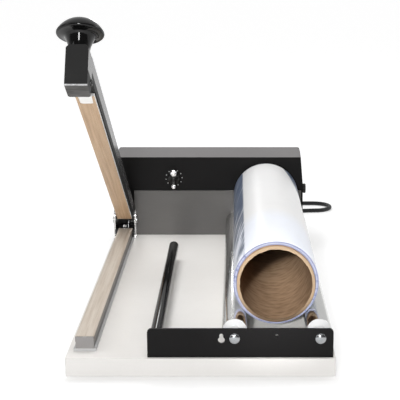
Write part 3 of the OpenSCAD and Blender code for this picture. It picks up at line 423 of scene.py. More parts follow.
@dataclass(frozen=True)
class FilmFinish(Finish):
    """Clear film wound tight: milky white, bluish in front, with dark streaks on both flanks, partly the
    film's own and partly painted reflection.

    Attributes:
        reflection_dark: Colour of the darkest painted reflection.
        reflection_pale: Colour of the paler painted reflection between the darkest streaks.
        cool: Colour of the front stretch.
        edge: Colour of the layers at the front end.
        front: Place of the front end in metres.
        rim: Depth of the front end's colour in metres.
        cool_ends: Where the front stretch fades out, in metres.
        pull: How often the streaks repeat round the roll and along it.
        slant: Lean of the streaks, in radians per metre.
        lean: Where the streaks stop growing along the roll, and their gain at the front and there.
        torn_at: Values of the cloud between which a streak's edge lies.
        reflection_at: Values of the cloud that pass from the paler to the darker painted reflection.
        left_low: Angles from the top where the left streaks begin.
        left_high: Angles where they stop.
        far_lead: Where the right rim starts along the roll, and how fast it drops.
        far_start: Angles over which it begins.
        far_turn: Angles where it passes into the flank.
        far_low: Angles where the flank thins out.
    """

    reflection_dark: tuple = (0.03, 0.05, 0.095)
    reflection_pale: tuple = (0.12, 0.155, 0.23)
    cool: tuple = (0.7, 0.73, 0.8)
    edge: tuple = (0.086, 0.1, 0.2)
    front: float = -0.235
    rim: float = 0.0009
    cool_ends: tuple = (-0.13, -0.08)
    pull: tuple = (8.0, 9.0)
    slant: float = 6.7
    lean: tuple = (0.05, -0.03, 0.17)
    torn_at: tuple = (0.46, 0.58)
    reflection_at: tuple = (0.35, 0.65)
    left_low: tuple = (-1.62, -1.45)
    left_high: tuple = (-0.84, -0.79)
    far_lead: tuple = (0.189, 7.0)
    far_start: tuple = (0.54, 0.6)
    far_turn: tuple = (1.25, 1.6)
    far_low: tuple = (2.3, 2.6)

    def colouring(self, nodes: MaterialTree) -> Socket:
        """Adds the flanks' dark streaks, partly painted reflection, the cool front and the blue end to the
        white film.

        Args:
            nodes: The material's nodes.

        Returns:
            The base colour.
        """
        parts = nodes.parts(nodes.place)
        along = parts["Y"]
        across = nodes.math("SUBTRACT", parts["X"], ROLL_X)
        turn = nodes.math("ARCTAN2", across, nodes.math("SUBTRACT", parts["Z"], ROLL_Z))
        skew = nodes.math("SUBTRACT", turn, nodes.times(along, self.slant))
        round_pull, along_pull = (nodes.times(way, pull) for way, pull in zip((skew, along), self.pull))
        drawn = nodes.add("ShaderNodeCombineXYZ", X=round_pull, Y=along_pull)
        cloud = nodes.cloud(drawn.outputs[0], 1.0, 4.0, 0.6)
        lean = nodes.span(along, self.front, *self.lean)
        torn = nodes.span(nodes.math("ADD", cloud, lean), *self.torn_at)
        # Painted reflection: on the left flank the white film turns to bluish dark streaks, partly the
        # film's own.
        start = nodes.span(turn, *self.left_low, 0.3, 1.0)
        band = nodes.times(start, nodes.span(turn, *self.left_high, 1.0, 0.0))
        body = nodes.blend(nodes.span(along, *self.cool_ends, 1.0, 0.0), self.colour, self.cool)
        share = nodes.span(nodes.grained("Tone"), *self.tones)
        white = nodes.blend(nodes.times(share, 0.5), body, self.shade)
        painted_reflection = nodes.blend(nodes.span(cloud, *self.reflection_at), self.reflection_pale, self.reflection_dark)
        with_reflection = nodes.blend(nodes.times(nodes.times(band, torn), 0.95), white, painted_reflection)
        # Painted reflection on the right flank as well, starting near the housing.
        with_reflection = nodes.blend(self._right_reflection(nodes, turn, along, torn), with_reflection, painted_reflection)
        ends = nodes.span(along, self.front, self.front + self.rim, 1.0, 0.0)
        return nodes.blend(nodes.times(ends, 0.92), with_reflection, self.edge)

    def _right_reflection(self, nodes: MaterialTree, turn: Socket, along: Socket, torn: Socket) -> Socket:
        """Gives the share of painted reflection on the right flank, which starts near the housing and thins
        out below.

        Args:
            nodes: The material's nodes.
            turn: Angle round the roll, from its top.
            along: Place along the roll.
            torn: The ragged mask of the painted reflection.

        Returns:
            The share, from 0 to 1.
        """
        begin, drop = self.far_lead
        lead = nodes.times(nodes.math("SUBTRACT", begin, along), drop)
        start = nodes.span(nodes.math("SUBTRACT", turn, lead), *self.far_start)
        rim = nodes.times(start, nodes.span(turn, *self.far_turn, 0.95, 0.0))
        flank = nodes.span(turn, *self.far_turn, 0.0, 0.8)
        thinned = nodes.times(flank, nodes.span(turn, *self.far_low, 1.0, 0.35))
        return nodes.math("MAXIMUM", rim, nodes.times(thinned, torn))


@dataclass(frozen=True)
class RoughFinish(Finish):
    """Cardboard: kraft brown inside the tube and paler where the tube was cut.

    Attributes:
        cut: Colour of the cut ends.
        shaded_cut: Their colour at the bottom, darkened with painted shade.
        front: Place of the front end in metres.
        back: Place of the rear end in metres.
        front_cut: Depths behind the front end between which its pale colour fades, in metres.
        back_cut: Depths before the rear end between which its pale colour begins.
        cut_shade_depths: Depths below the roll's axis between which the cut ends turn brown with painted
            shade.
    """

    tones: tuple = (0.35, 0.75)
    cut: tuple = (0.29, 0.21, 0.137)
    shaded_cut: tuple = (0.11, 0.072, 0.043)
    front: float = -0.241
    back: float = 0.19
    front_cut: tuple = (0.0006, 0.0022)
    back_cut: tuple = (0.0016, 0.0004)
    cut_shade_depths: tuple = (0.034, 0.012)

    def colouring(self, nodes: MaterialTree) -> Socket:
        """Adds the pale cut ends, browner at the bottom with painted shade, to the kraft surface.

        Args:
            nodes: The material's nodes.

        Returns:
            The base colour.
        """
        parts = nodes.parts(nodes.place)
        first = nodes.span(parts["Y"], *(self.front + depth for depth in self.front_cut), 1.0, 0.0)
        last = nodes.span(parts["Y"], *(self.back - depth for depth in self.back_cut))
        # Painted shade: the cut ends turn brown below the roll's axis.
        rise = nodes.span(parts["Z"], *(ROLL_Z - drop for drop in self.cut_shade_depths))
        cut_with_shade = nodes.blend(rise, self.shaded_cut, self.cut)
        return nodes.blend(nodes.math("MAXIMUM", first, last), self.patchy(nodes), cut_with_shade)


@dataclass(frozen=True)
class FoldedTape(Finish):
    """Slip tape folded over a hot bar, darker and browner below its top edges.

    Attributes:
        below_edge_colour: Colour of the sides below the top edges.
        edge_z: Height of the top edges in metres.
        fade: Depths below the top edges between which the brown begins, in metres.
    """

    below_edge_colour: tuple = (0.05, 0.035, 0.025)
    edge_z: float = 0.039
    fade: tuple = (0.0009, 0.0003)

    def colouring(self, nodes: MaterialTree) -> Socket:
        """Adds the brown sides to the plain tape.

        Args:
            nodes: The material's nodes.

        Returns:
            The base colour.
        """
        rise = nodes.parts(nodes.place)["Z"]
        # The sides below the top edges are darker and browner.
        below = nodes.span(rise, *(self.edge_z - drop for drop in self.fade), 0.9, 0.0)
        return nodes.blend(below, self.patchy(nodes), self.below_edge_colour)


@dataclass(frozen=True)
class BandedBar(Finish):
    """Bar of the arm, near black and duller along the lower part of its sides, next to the pad.

    Attributes:
        low_band: Colour of the lower band.
        low_band_h: Height of the lower band above the sealing face in metres.
        blur: Half width of the lower band's edge in metres.
        low_band_rough: Roughness of the lower band.
    """

    low_band: tuple = (0.006, 0.006, 0.006)
    low_band_h: float = 0.0125
    blur: float = 0.0006
    low_band_rough: float = 0.6

    def dress(self, nodes: MaterialTree) -> None:
        """Adds the near black lower band, which is also duller.

        Args:
            nodes: The material's nodes.
        """
        super().dress(nodes)
        face = PAD_DROP * MM - (LOWERED @ machine_point(*ARM_PIVOT)).z
        moved = nodes.add("ShaderNodeMapping", Vector=nodes.place, Location=(0.0, 0.0, face),
                          Rotation=(OPEN_ANGLE, 0.0, 0.0))
        rise = nodes.parts(moved.outputs["Vector"])["Z"]
        # The lower part of each side is near black and duller.
        below = nodes.span(rise, self.low_band_h - self.blur, self.low_band_h + self.blur, 1.0, 0.0)
        nodes.put(nodes.shader, "Base Color", nodes.blend(below, self.patchy(nodes), self.low_band))
        nodes.put(nodes.shader, "Roughness", nodes.span(below, 0.0, 1.0, self.roughness, self.low_band_rough))


class Finishes:
    """Every finish of the machine, by the surface that carries it."""

    laminate = Finish(
        "white laminate", "laminate", (0.805, 0.785, 0.757), (0.757, 0.738, 0.71), 0.34, 0.44,
        specular=0.12, size=0.002, bump=0.000006)
    # Painted shade: the board's edges are a darker copy of the same laminate.
    laminate_shade_edge = Finish(
        "edge band: painted shade", "laminate", (0.66, 0.645, 0.625), (0.62, 0.605, 0.585), 0.4, 0.5,
        specular=0.3, size=0.002, bump=0.000006)
    black_coat = Finish(
        "black powder coat", "black_paint", (0.0055, 0.005, 0.0051), (0.0042, 0.0039, 0.004), 0.46, 0.54,
        specular=0.12, size=0.0009, bump=0.00003)
    # Painted reflection: the hood's strip is a grey copy of the black coat, for the sheen it shows.
    strip_reflection = Finish(
        "name strip: painted reflection", "black_paint", (0.17, 0.164, 0.164), (0.15, 0.145, 0.145), 0.4, 0.5,
        size=0.0009, bump=0.00002)
    grey_coat = Finish(
        "grey satin sheet", "grey_paint", (0.105, 0.1, 0.095), (0.088, 0.085, 0.083), 0.34, 0.44,
        metallic=0.35, size=0.001, stretch=(0.08, 1.0, 1.0), grain=Grain.BRUSHED, bump=0.00001)
    chrome = Finish(
        "bright plating", "chrome", (0.88, 0.88, 0.89), (0.8, 0.8, 0.82), 0.07, 0.16,
        metallic=1.0, size=0.003, bump=0.000008)
    dull_chrome = Finish(
        "rubbed plating", "chrome", (0.44, 0.45, 0.46), (0.3, 0.31, 0.32), 0.2, 0.3,
        metallic=1.0, size=0.003, bump=0.000008)
    # Bright edge of the end block: worn bare, and partly a painted highlight.
    edge_wear_highlight = Finish(
        "block edge: wear and painted highlight", "black_plastic", (0.85, 0.85, 0.86), (0.03, 0.03, 0.03), 0.3, 0.4,
        metallic=0.3, size=0.004, bump=0.00001)
    # Underside of the end block: scuffs, and partly a painted reflection of the floor.
    scuffs_and_reflection = Finish(
        "underside: scuffs and painted reflection", "black_plastic", (0.13, 0.125, 0.12), (0.001, 0.001, 0.001), 0.4, 0.5,
        specular=0.15, grain=Grain.BRUSHED, size=0.0024, stretch=(0.2, 1.0, 1.0), bump=0.00003,
        turn=OPEN_ANGLE)
    dark_screw = Finish(
        "blackened screw", "steel", (0.06, 0.06, 0.06), (0.04, 0.04, 0.04), 0.2, 0.3,
        metallic=0.8, size=0.002, bump=0.00001)
    # The jaw bar's side faces, darker than the rest of the bar.
    dark_side = Finish(
        "darker bar side", "aluminium", (0.06, 0.055, 0.05), (0.04, 0.036, 0.033), 0.35, 0.45,
        metallic=0.4, grain=Grain.BRUSHED, size=0.0005, stretch=(1.0, 0.03, 1.0), bump=0.00001)
    nickel = Finish(
        "pale nickel plating", "chrome", (0.66, 0.655, 0.65), (0.52, 0.515, 0.51), 0.2, 0.3,
        metallic=0.75, size=0.002, bump=0.00001)
    steel = Finish(
        "plain steel", "steel", (0.5, 0.5, 0.5), (0.4, 0.4, 0.4), 0.3, 0.42,
        metallic=1.0, grain=Grain.BRUSHED, size=0.0007, stretch=(1.0, 0.15, 1.0), bump=0.000015)
    bare_bar = Finish(
        "cut aluminium", "aluminium", (0.3, 0.29, 0.285), (0.25, 0.24, 0.236), 0.36, 0.46,
        metallic=0.7, grain=Grain.BRUSHED, size=0.0005, stretch=(1.0, 0.03, 1.0), bump=0.00002)
    roller_tube = Finish(
        "polished aluminium tube", "aluminium", (0.72, 0.72, 0.71), (0.66, 0.66, 0.65), 0.2, 0.27,
        metallic=1.0, grain=Grain.BRUSHED, size=0.0006, stretch=(1.0, 0.05, 1.0), bump=0.000006)
    arm_bar = BandedBar(
        "smooth dark bar", "aluminium", (0.07, 0.068, 0.068), (0.055, 0.054, 0.054), 0.24, 0.3,
        specular=0.3, grain=Grain.BRUSHED, size=0.0008, stretch=(1.0, 0.04, 1.0), bump=0.000004,
        turn=OPEN_ANGLE)
    block_side = BandedBar(
        "block side plate", "black_plastic", (0.07, 0.068, 0.068), (0.055, 0.054, 0.054), 0.24, 0.3,
        specular=0.3, size=0.0008, bump=0.000004, turn=OPEN_ANGLE, low_band_h=0.0015)
    white_plastic = Finish(
        "white moulded plastic", "white_plastic", (0.52, 0.52, 0.52), (0.48, 0.48, 0.48), 0.6, 0.7,
        size=0.0015, bump=0.00001)
    silicone = Finish(
        "white silicone", "silicone", (0.86, 0.85, 0.83), (0.8, 0.79, 0.77), 0.5, 0.6,
        size=0.0012, bump=0.00003)
    arm_tape = Finish(
        "tan slip tape", "slip_tape", (0.52, 0.355, 0.215), (0.37, 0.23, 0.125), 0.42, 0.52,
        grain=Grain.WOVEN, size=0.0011, bump=0.00006, turn=OPEN_ANGLE)
    jaw_tape = FoldedTape(
        "pale slip tape", "slip_tape", (0.62, 0.55, 0.47), (0.46, 0.38, 0.3), 0.34, 0.44,
        grain=Grain.WOVEN, size=0.0011, bump=0.00006)
    black_block = Finish(
        "black machined plastic", "black_plastic", (0.013, 0.0125, 0.0125), (0.01, 0.01, 0.01), 0.36, 0.46,
        specular=0.35, grain=Grain.BRUSHED, size=0.0008, stretch=(1.0, 0.2, 1.0), bump=0.000015)
    black_gloss = Finish(
        "black gloss plastic", "black_gloss", (0.004, 0.004, 0.004), (0.003, 0.003, 0.003), 0.09, 0.16,
        specular=0.3, size=0.004, bump=0.000006)
    rod_gloss = Finish(
        "black rod", "black_gloss", (0.008, 0.0078, 0.0075), (0.006, 0.0058, 0.0056), 0.07, 0.1,
        specular=0.06, size=0.004, bump=0.000004)
    black_rubber = Finish(
        "black cord rubber", "black_rubber", (0.012, 0.012, 0.013), (0.008, 0.008, 0.009), 0.45, 0.55,
        specular=0.35, size=0.0009, bump=0.00003)
    cardboard = RoughFinish(
        "kraft tube", "cardboard", (0.32, 0.212, 0.13), (0.19, 0.116, 0.066), 0.85, 0.9,
        specular=0.15, grain=Grain.KRAFT, size=0.0026, stretch=(0.5, 1.0, 0.5), bump=0.0003)
    film = FilmFinish(
        "wound film", "film", (0.71, 0.705, 0.7), (0.67, 0.67, 0.68), 0.3, 0.4,
        specular=0.2, size=0.006, stretch=(1.0, 0.25, 1.0), bump=0.00005)
    brass = Finish(
        "brass", "brass", (0.68, 0.5, 0.22), (0.58, 0.41, 0.17), 0.22, 0.34, metallic=1.0, size=0.001)
    board = Finish(
        "green board", "board", (0.02, 0.14, 0.06), (0.012, 0.1, 0.04), 0.35, 0.45, size=0.0015)
    winding = Finish(
        "varnished winding", "coil", (0.26, 0.09, 0.03), (0.18, 0.06, 0.02), 0.35, 0.5,
        grain=Grain.BRUSHED, size=0.0006, stretch=(0.1, 0.1, 1.0), bump=0.0001)
    glass = Finish(
        "fuse glass", "glass", (0.9, 0.95, 0.95), (0.86, 0.92, 0.92), 0.05, 0.08, size=0.003)
    dial_mark = Finish(
        "dial print", "white_plastic", (0.5, 0.5, 0.5), (0.36, 0.36, 0.36), 0.5, 0.6, size=0.0006)


class Shop:
    """Makes finished pieces: meshes, bevelled copies of solids, turned shapes and repeats."""

    weld: float = 2e-6
    flat_angle: float = 1.0
    round_angle: float = 40.0
    pole: float = 1e-6
    dome_steps: int = 14

    @staticmethod
    def placed(name: str, data: bpy.types.ID) -> Piece:
        """Adds an object to the scene.

        Args:
            name: The object's name.
            data: Its mesh, curve, light or camera.

        Returns:
            The new object.
        """
        made = bpy.data.objects.new(name, data)
        bpy.context.scene.collection.objects.link(made)
        return made

    @staticmethod
    def covered(data: Mesh | bpy.types.Curve, finish: Finish) -> None:
        """Gives a mesh or a curve one finish."""
        data.materials.clear()
        data.materials.append(finish.material())

    @classmethod
    def piece(cls, name: str, mesh: Mesh, finish: Finish, body: str, replaces: Sequence[str] = ()) -> Piece:
        """Adds a finished mesh to the scene.

        Args:
            name: The piece's name.
            mesh: Its mesh, already in place.
            finish: The finish that covers it.
            body: The body that it moves with.
            replaces: Solids that it stands for.

        Returns:
            The new object.
        """
        made = cls.placed(name, mesh)
        cls.covered(mesh, finish)
        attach(made, body)
        if replaces:
            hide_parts(*replaces)
        LOG.info("piece %s on %s", name, body)
        return made

    @staticmethod
    def mesh(name: str, shape: Shape, smooth: float = 35.0) -> Mesh:
        """Turns a bmesh into a mesh with smooth faces and sharp corners.

        Args:
            name: The mesh's name.
            shape: The bmesh, which is freed.
            smooth: Largest angle in degrees between faces that blend.

        Returns:
            The mesh.
        """
        bmesh.ops.recalc_face_normals(shape, faces=shape.faces)
        made = bpy.data.meshes.new(name)
        shape.to_mesh(made)
        shape.free()
        made.shade_smooth()
        made.set_sharp_from_angle(angle=math.radians(smooth))
        return made

    @staticmethod
    def plain(passing: Piece) -> Mesh:
        """Gives an object's mesh with its modifiers applied, and removes the object.

        Args:
            passing: The object.

        Returns:
            The plain mesh.
        """
        graph = bpy.context.evaluated_depsgraph_get()
        made = bpy.data.meshes.new_from_object(passing.evaluated_get(graph), depsgraph=graph)
        bpy.data.objects.remove(passing)
        return made

    @classmethod
    def eased(cls, node: str, width: float, finish: Finish, segments: int = 2) -> Piece:
        """Replaces a solid with a copy whose edges are rounded.

        Args:
            node: The solid's name.
            width: Width of the rounding in millimetres.
            finish: The finish that covers it.
            segments: Faces across each rounding.

        Returns:
            The new object.
        """
        shape = bmesh.new()
        shape.from_mesh(frame["nodes"][node].data)
        bmesh.ops.remove_doubles(shape, verts=shape.verts, dist=cls.weld)
        flat = math.radians(cls.flat_angle)
        bmesh.ops.dissolve_limit(shape, angle_limit=flat, verts=shape.verts, edges=shape.edges)
        start = bpy.data.meshes.new(node + "_start")
        shape.to_mesh(start)
        shape.free()
        start.shade_smooth()
        passing = cls.placed(node + "_passing", start)
        bevel = passing.modifiers.new("rounding", "BEVEL")
        bevel.width = width * MM
        bevel.segments = segments
        bevel.limit_method = "ANGLE"
        bevel.angle_limit = math.radians(cls.round_angle)
        passing.modifiers.new("even", "WEIGHTED_NORMAL").keep_sharp = False
        body = frame["nodes"][node]["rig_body"]
        return cls.piece(node + ".dressed", cls.plain(passing), finish, body, [node])

    @staticmethod
    def cover(piece: Piece, finish: Finish, way: Vector, reach: float = 0.97) -> None:
        """Gives a second finish to the faces that look one way.

        Args:
            piece: The piece that has the faces.
            finish: Their finish.
            way: The direction in which they look.
            reach: Least cosine between a face and that direction.
        """
        mesh = piece.data
        if finish.name not in mesh.materials:
            mesh.materials.append(finish.material())
        index = mesh.materials.find(finish.name)
        for face in mesh.polygons:
            if face.normal.dot(way.normalized()) > reach:
                face.material_index = index

    @staticmethod
    def facing(axis: Vector) -> Matrix:
        """Gives the turn that points a shape's height along an axis."""
        return UPWARD.rotation_difference(axis).to_matrix()

    @classmethod
    def turned(cls, profile: Sequence[tuple], centre: Vector, axis: Vector, steps: int = 72) -> Shape:
        """Turns a profile round an axis.

        Args:
            profile: Radius and height pairs in millimetres, from one end of the axis to the other.
            centre: Where height 0 lies, in metres.
            axis: Direction of rising height.
            steps: Faces round the axis.

        Returns:
            The closed shape.
        """
        shape = bmesh.new()
        turn = cls.facing(axis)
        angles = [2 * math.pi * k / steps for k in range(steps)]
        rings = []
        for radius, height in profile:
            spots = [Vector((0, 0, height * MM))]
            if radius > cls.pole:
                spots = [Vector((radius * math.cos(a), radius * math.sin(a), height)) * MM for a in angles]
            rings.append([shape.verts.new(centre + turn @ spot) for spot in spots])
        for low, high in zip(rings, rings[1:]):
            for k in range(steps):
                after = (k + 1) % steps
                order = ((low, k), (low, after), (high, after), (high, k))
                corners = [ring[at % len(ring)] for ring, at in order]
                shape.faces.new(list(dict.fromkeys(corners)))
        for ring in (rings[0], rings[-1]):
            if len(ring) > 2:
                shape.faces.new(ring)
        return shape

    @staticmethod
    def arc(centre: tuple, radius: float, start: float, end: float, steps: int) -> list[tuple]:
        """Gives profile points on an arc.

        Args:
            centre: Radius and height of the arc's centre in millimetres.
            radius: The arc's radius in millimetres.
            start: First angle in degrees.
            end: Last angle in degrees.
            steps: Stretches along the arc.

        Returns:
            The points, both ends included.
        """
        angles = [math.radians(start + (end - start) * k / steps) for k in range(steps + 1)]
        return [(centre[0] + radius * math.cos(a), centre[1] + radius * math.sin(a)) for a in angles]

    @staticmethod
    def bridged(shape: Shape, rings: Sequence[list], capped: bool = True) -> None:
        """Joins rings of as many points each with faces.

        Args:
            shape: The shape that has the points.
            rings: The rings in order.
            capped: Whether the first and the last ring are closed with a face.
        """
        for low, high in zip(rings, rings[1:]):
            for k in range(len(low)):
                after = (k + 1) % len(low)
                shape.faces.new((low[k], low[after], high[after], high[k]))
        if capped:
            shape.faces.new(rings[0])
            shape.faces.new(rings[-1])

    @staticmethod
    def wire(name: str, points: Sequence[Vector], diameter: float, rounds: int) -> bpy.types.Curve:
        """Draws a round wire along points.

        Args:
            name: The curve's name.
            points: Its path in metres.
            diameter: Its thickness in millimetres.
            rounds: Fineness of its round section.

        Returns:
            The curve.
        """
        curve = bpy.data.curves.new(name, "CURVE")
        curve.dimensions = "3D"
        curve.bevel_depth = diameter / 2 * MM
        curve.bevel_resolution = rounds
        curve.use_fill_caps = True
        line = curve.splines.new("POLY")
        line.points.add(len(points) - 1)
        for spot, place in zip(line.points, points):
            spot.co = (*place, 1.0)
        line.use_smooth = True
        return curve

    @classmethod
    def repeated(cls, name: str, template: Mesh, places: Iterable[Vector], finish: Finish) -> Mesh:
        """Puts one shape at several places with a Geometry Nodes tree.

        Args:
            name: Name of the result.
            template: The shape, drawn round the origin.
            places: Where it goes, in metres.
            finish: The finish that the tree sets.

        Returns:
            One plain mesh of all copies.
        """
        source = cls.placed(name + "_template", template)
        points = bpy.data.meshes.new(name + "_places")
        points.from_pydata([tuple(p) for p in places], [], [])
        tree = bpy.data.node_groups.new(name + " repeat", "GeometryNodeTree")
        tree.interface.new_socket(name="Places", in_out="INPUT", socket_type="NodeSocketGeometry")
        size = tree.interface.new_socket(name="Size", in_out="INPUT", socket_type="NodeSocketFloat")
        tree.interface.new_socket(name="Result", in_out="OUTPUT", socket_type="NodeSocketGeometry")
        entry = tree.nodes.new("NodeGroupInput").outputs
        leave = tree.nodes.new("NodeGroupOutput")
        shape = tree.nodes.new("GeometryNodeObjectInfo")
        shape.inputs["Object"].default_value = source
        put = tree.nodes.new("GeometryNodeInstanceOnPoints")
        real = tree.nodes.new("GeometryNodeRealizeInstances")
        cover = tree.nodes.new("GeometryNodeSetMaterial")
        cover.inputs["Material"].default_value = finish.material()
        tree.links.new(entry["Places"], put.inputs["Points"])
        tree.links.new(shape.outputs["Geometry"], put.inputs["Instance"])
        tree.links.new(entry["Size"], put.inputs["Scale"])
        tree.links.new(put.outputs["Instances"], real.inputs["Geometry"])
        tree.links.new(real.outputs["Geometry"], cover.inputs["Geometry"])
        tree.links.new(cover.outputs["Geometry"], leave.inputs["Result"])
        passing = cls.placed(name + "_passing", points)
        modifier = passing.modifiers.new("repeat", "NODES")
        modifier.node_group = tree
        modifier[size.identifier] = 1.0
        made = cls.plain(passing)
        bpy.data.objects.remove(source)
        return made

    @classmethod
    def screw_head(cls, radius: float, height: float, axis: Vector, slot: float = 0.0) -> Mesh:
        """Draws a domed head with a cross recess, its seat at the origin.

        Args:
            radius: Radius of the head in millimetres.
            height: Height of the head in millimetres.
            axis: Direction in which the head stands out.
            slot: Half width of the cross recess in millimetres, or 0 for none.

        Returns:
            The head's mesh.
        """
        side_h, slot_reach, slot_depth = 0.25 * height, 0.62 * radius, 0.45 * height
        profile = [(0.0, 0.0), (radius, 0.0)]
        for k in range(1, cls.dome_steps):
            turn = k / cls.dome_steps * math.pi / 2
            profile.append((radius * math.cos(turn), side_h + (height - side_h) * math.sin(turn)))
        profile.append((0.0, height))
        shape = cls.turned(profile, Vector(), UPWARD, 64)
        for vert in shape.verts:
            x, y, z = vert.co / MM
            inside = min(abs(x), abs(y)) < slot and max(abs(x), abs(y)) < slot_reach
            if inside and z > height * 0.5:
                vert.co.z -= slot_depth * MM
        shape.transform(cls.facing(axis).to_4x4())
        return cls.mesh("screw_head", shape, 30.0)

    @classmethod
    def heads(
        cls, name: str, head: Mesh, places: Iterable[Vector], finish: Finish, body: str, node: str,
    ) -> None:
        """Puts the same head at several places, as one piece that stands for a solid.

        Args:
            name: The piece's name.
            head: The head's mesh.
            places: Where the heads sit, in metres.
            finish: The finish that covers them.
            body: The body that they move with.
            node: The solid that they stand for.
        """
        cls.piece(name, cls.repeated(name, head, places, finish), finish, body, [node])


@dataclass
class BaseBoard:
    """The white board on its rubber feet."""

    rounding: float = 0.8
    foot_rounding: float = 0.6
    feet: Sequence[tuple] = ((-104.0, 32.0), (-104.0, 568.0), (104.0, 32.0), (104.0, 568.0))
    seat_h: float = -21.0
    head_h: float = 1.5

    def build(self) -> None:
        """Dresses the board, the feet and their screws."""
        board = Shop.eased("base_board", self.rounding, Finishes.laminate)
        # The board's edges get painted shade, a darker copy of the laminate.
        for way in (FORWARD, REARWARD, LEFT, RIGHT):
            Shop.cover(board, Finishes.laminate_shade_edge, way, 0.7)
        Shop.eased("rubber_feet", self.foot_rounding, Finishes.black_rubber)
        head = Shop.screw_head(SCREW_R, self.head_h, DOWNWARD, SCREW_SLOT)
        places = [machine_point(x, y, self.seat_h) for x, y in self.feet]
        Shop.heads("foot_screw_heads", head, places, Finishes.steel, "machine", "foot_screws")


@dataclass
class FilmCradle:
    """Front bracket, rollers on their axles and the separator rod."""

    bracket_front: float = 3.5
    axle_head: tuple = (5.75, 3.3)
    axis_h: float = 20.0
    roller_x: Sequence[float] = (34.3, 120.6)
    roller_r: float = 13.0
    bore_r: float = 10.0
    lip: float = 0.8
    wall_corners: int = 8
    seam: float = 1e-7
    roller_ends: tuple = (26.0, 493.9)
    flange: tuple = (19.0, 3.0)
    flange_screw_x: Sequence[float] = (-25.5, 77.45, 91.5)
    flange_head_h: float = 2.4
    rod_x: float = -45.3
    rod_r: float = 6.25
    rod_ends: tuple = (6.5, 364.5)

    def build(self) -> None:
        """Dresses every piece of the cradle."""
        Shop.eased("cradle_bracket", 0.5, Finishes.black_coat)
        cap = Shop.screw_head(*self.axle_head, FORWARD)
        places = [machine_point(x, self.bracket_front, self.axis_h) for x in self.roller_x]
        Shop.heads("axle_heads", cap, places, Finishes.dull_chrome, "machine", "axle_cap_nuts")
        head = Shop.screw_head(SCREW_R, self.flange_head_h, UPWARD, SCREW_SLOT)
        places = [machine_point(x, *self.flange) for x in self.flange_screw_x]
        Shop.heads("bracket_screw_heads", head, places, Finishes.black_coat, "machine", "bracket_screws")
        for side, x in zip(("left", "right"), self.roller_x):
            self._roller(side, x)
        self._rod()

    def _roller(self, side: str, x: float) -> None:
        """Turns one roller tube with eased ends.

        Args:
            side: Which roller it is.
            x: Place of its axis in millimetres.
        """
        first, last = self.roller_ends
        length = last - first
        shoulder = self.roller_r - self.lip
        wall = [(self.bore_r, 0.0), (shoulder, 0.0)]
        wall += Shop.arc((shoulder, self.lip), self.lip, -90, 0, 4)
        wall += Shop.arc((shoulder, length - self.lip), self.lip, 0, 90, 4)
        wall += [(self.bore_r, length), (self.bore_r, 0.0)]
        shape = Shop.turned(wall, machine_point(x, first, self.axis_h), REARWARD, 96)
        ends = [face for face in shape.faces if len(face.verts) > self.wall_corners]
        bmesh.ops.delete(shape, geom=ends, context="FACES_ONLY")
        bmesh.ops.remove_doubles(shape, verts=shape.verts, dist=self.seam)
        node = side + "_roller"
        Shop.piece(node + ".tube", Shop.mesh(node, shape), Finishes.roller_tube, "roller_" + side, [node])

    def _rod(self) -> None:
        """Turns the separator rod with its round end."""
        first, last = self.rod_ends
        length = last - first
        outline = [(0.0, 0.0), (self.rod_r, 0.0), (self.rod_r, length - self.rod_r)]
        outline += Shop.arc((0.0, length - self.rod_r), self.rod_r, 8, 82, 9)
        outline.append((0.0, length))
        shape = Shop.turned(outline, machine_point(self.rod_x, first, self.axis_h), REARWARD, 64)
        mesh = Shop.mesh("separator_rod", shape)
        Shop.piece("separator_rod", mesh, Finishes.rod_gloss, "machine", ["film_rod"])


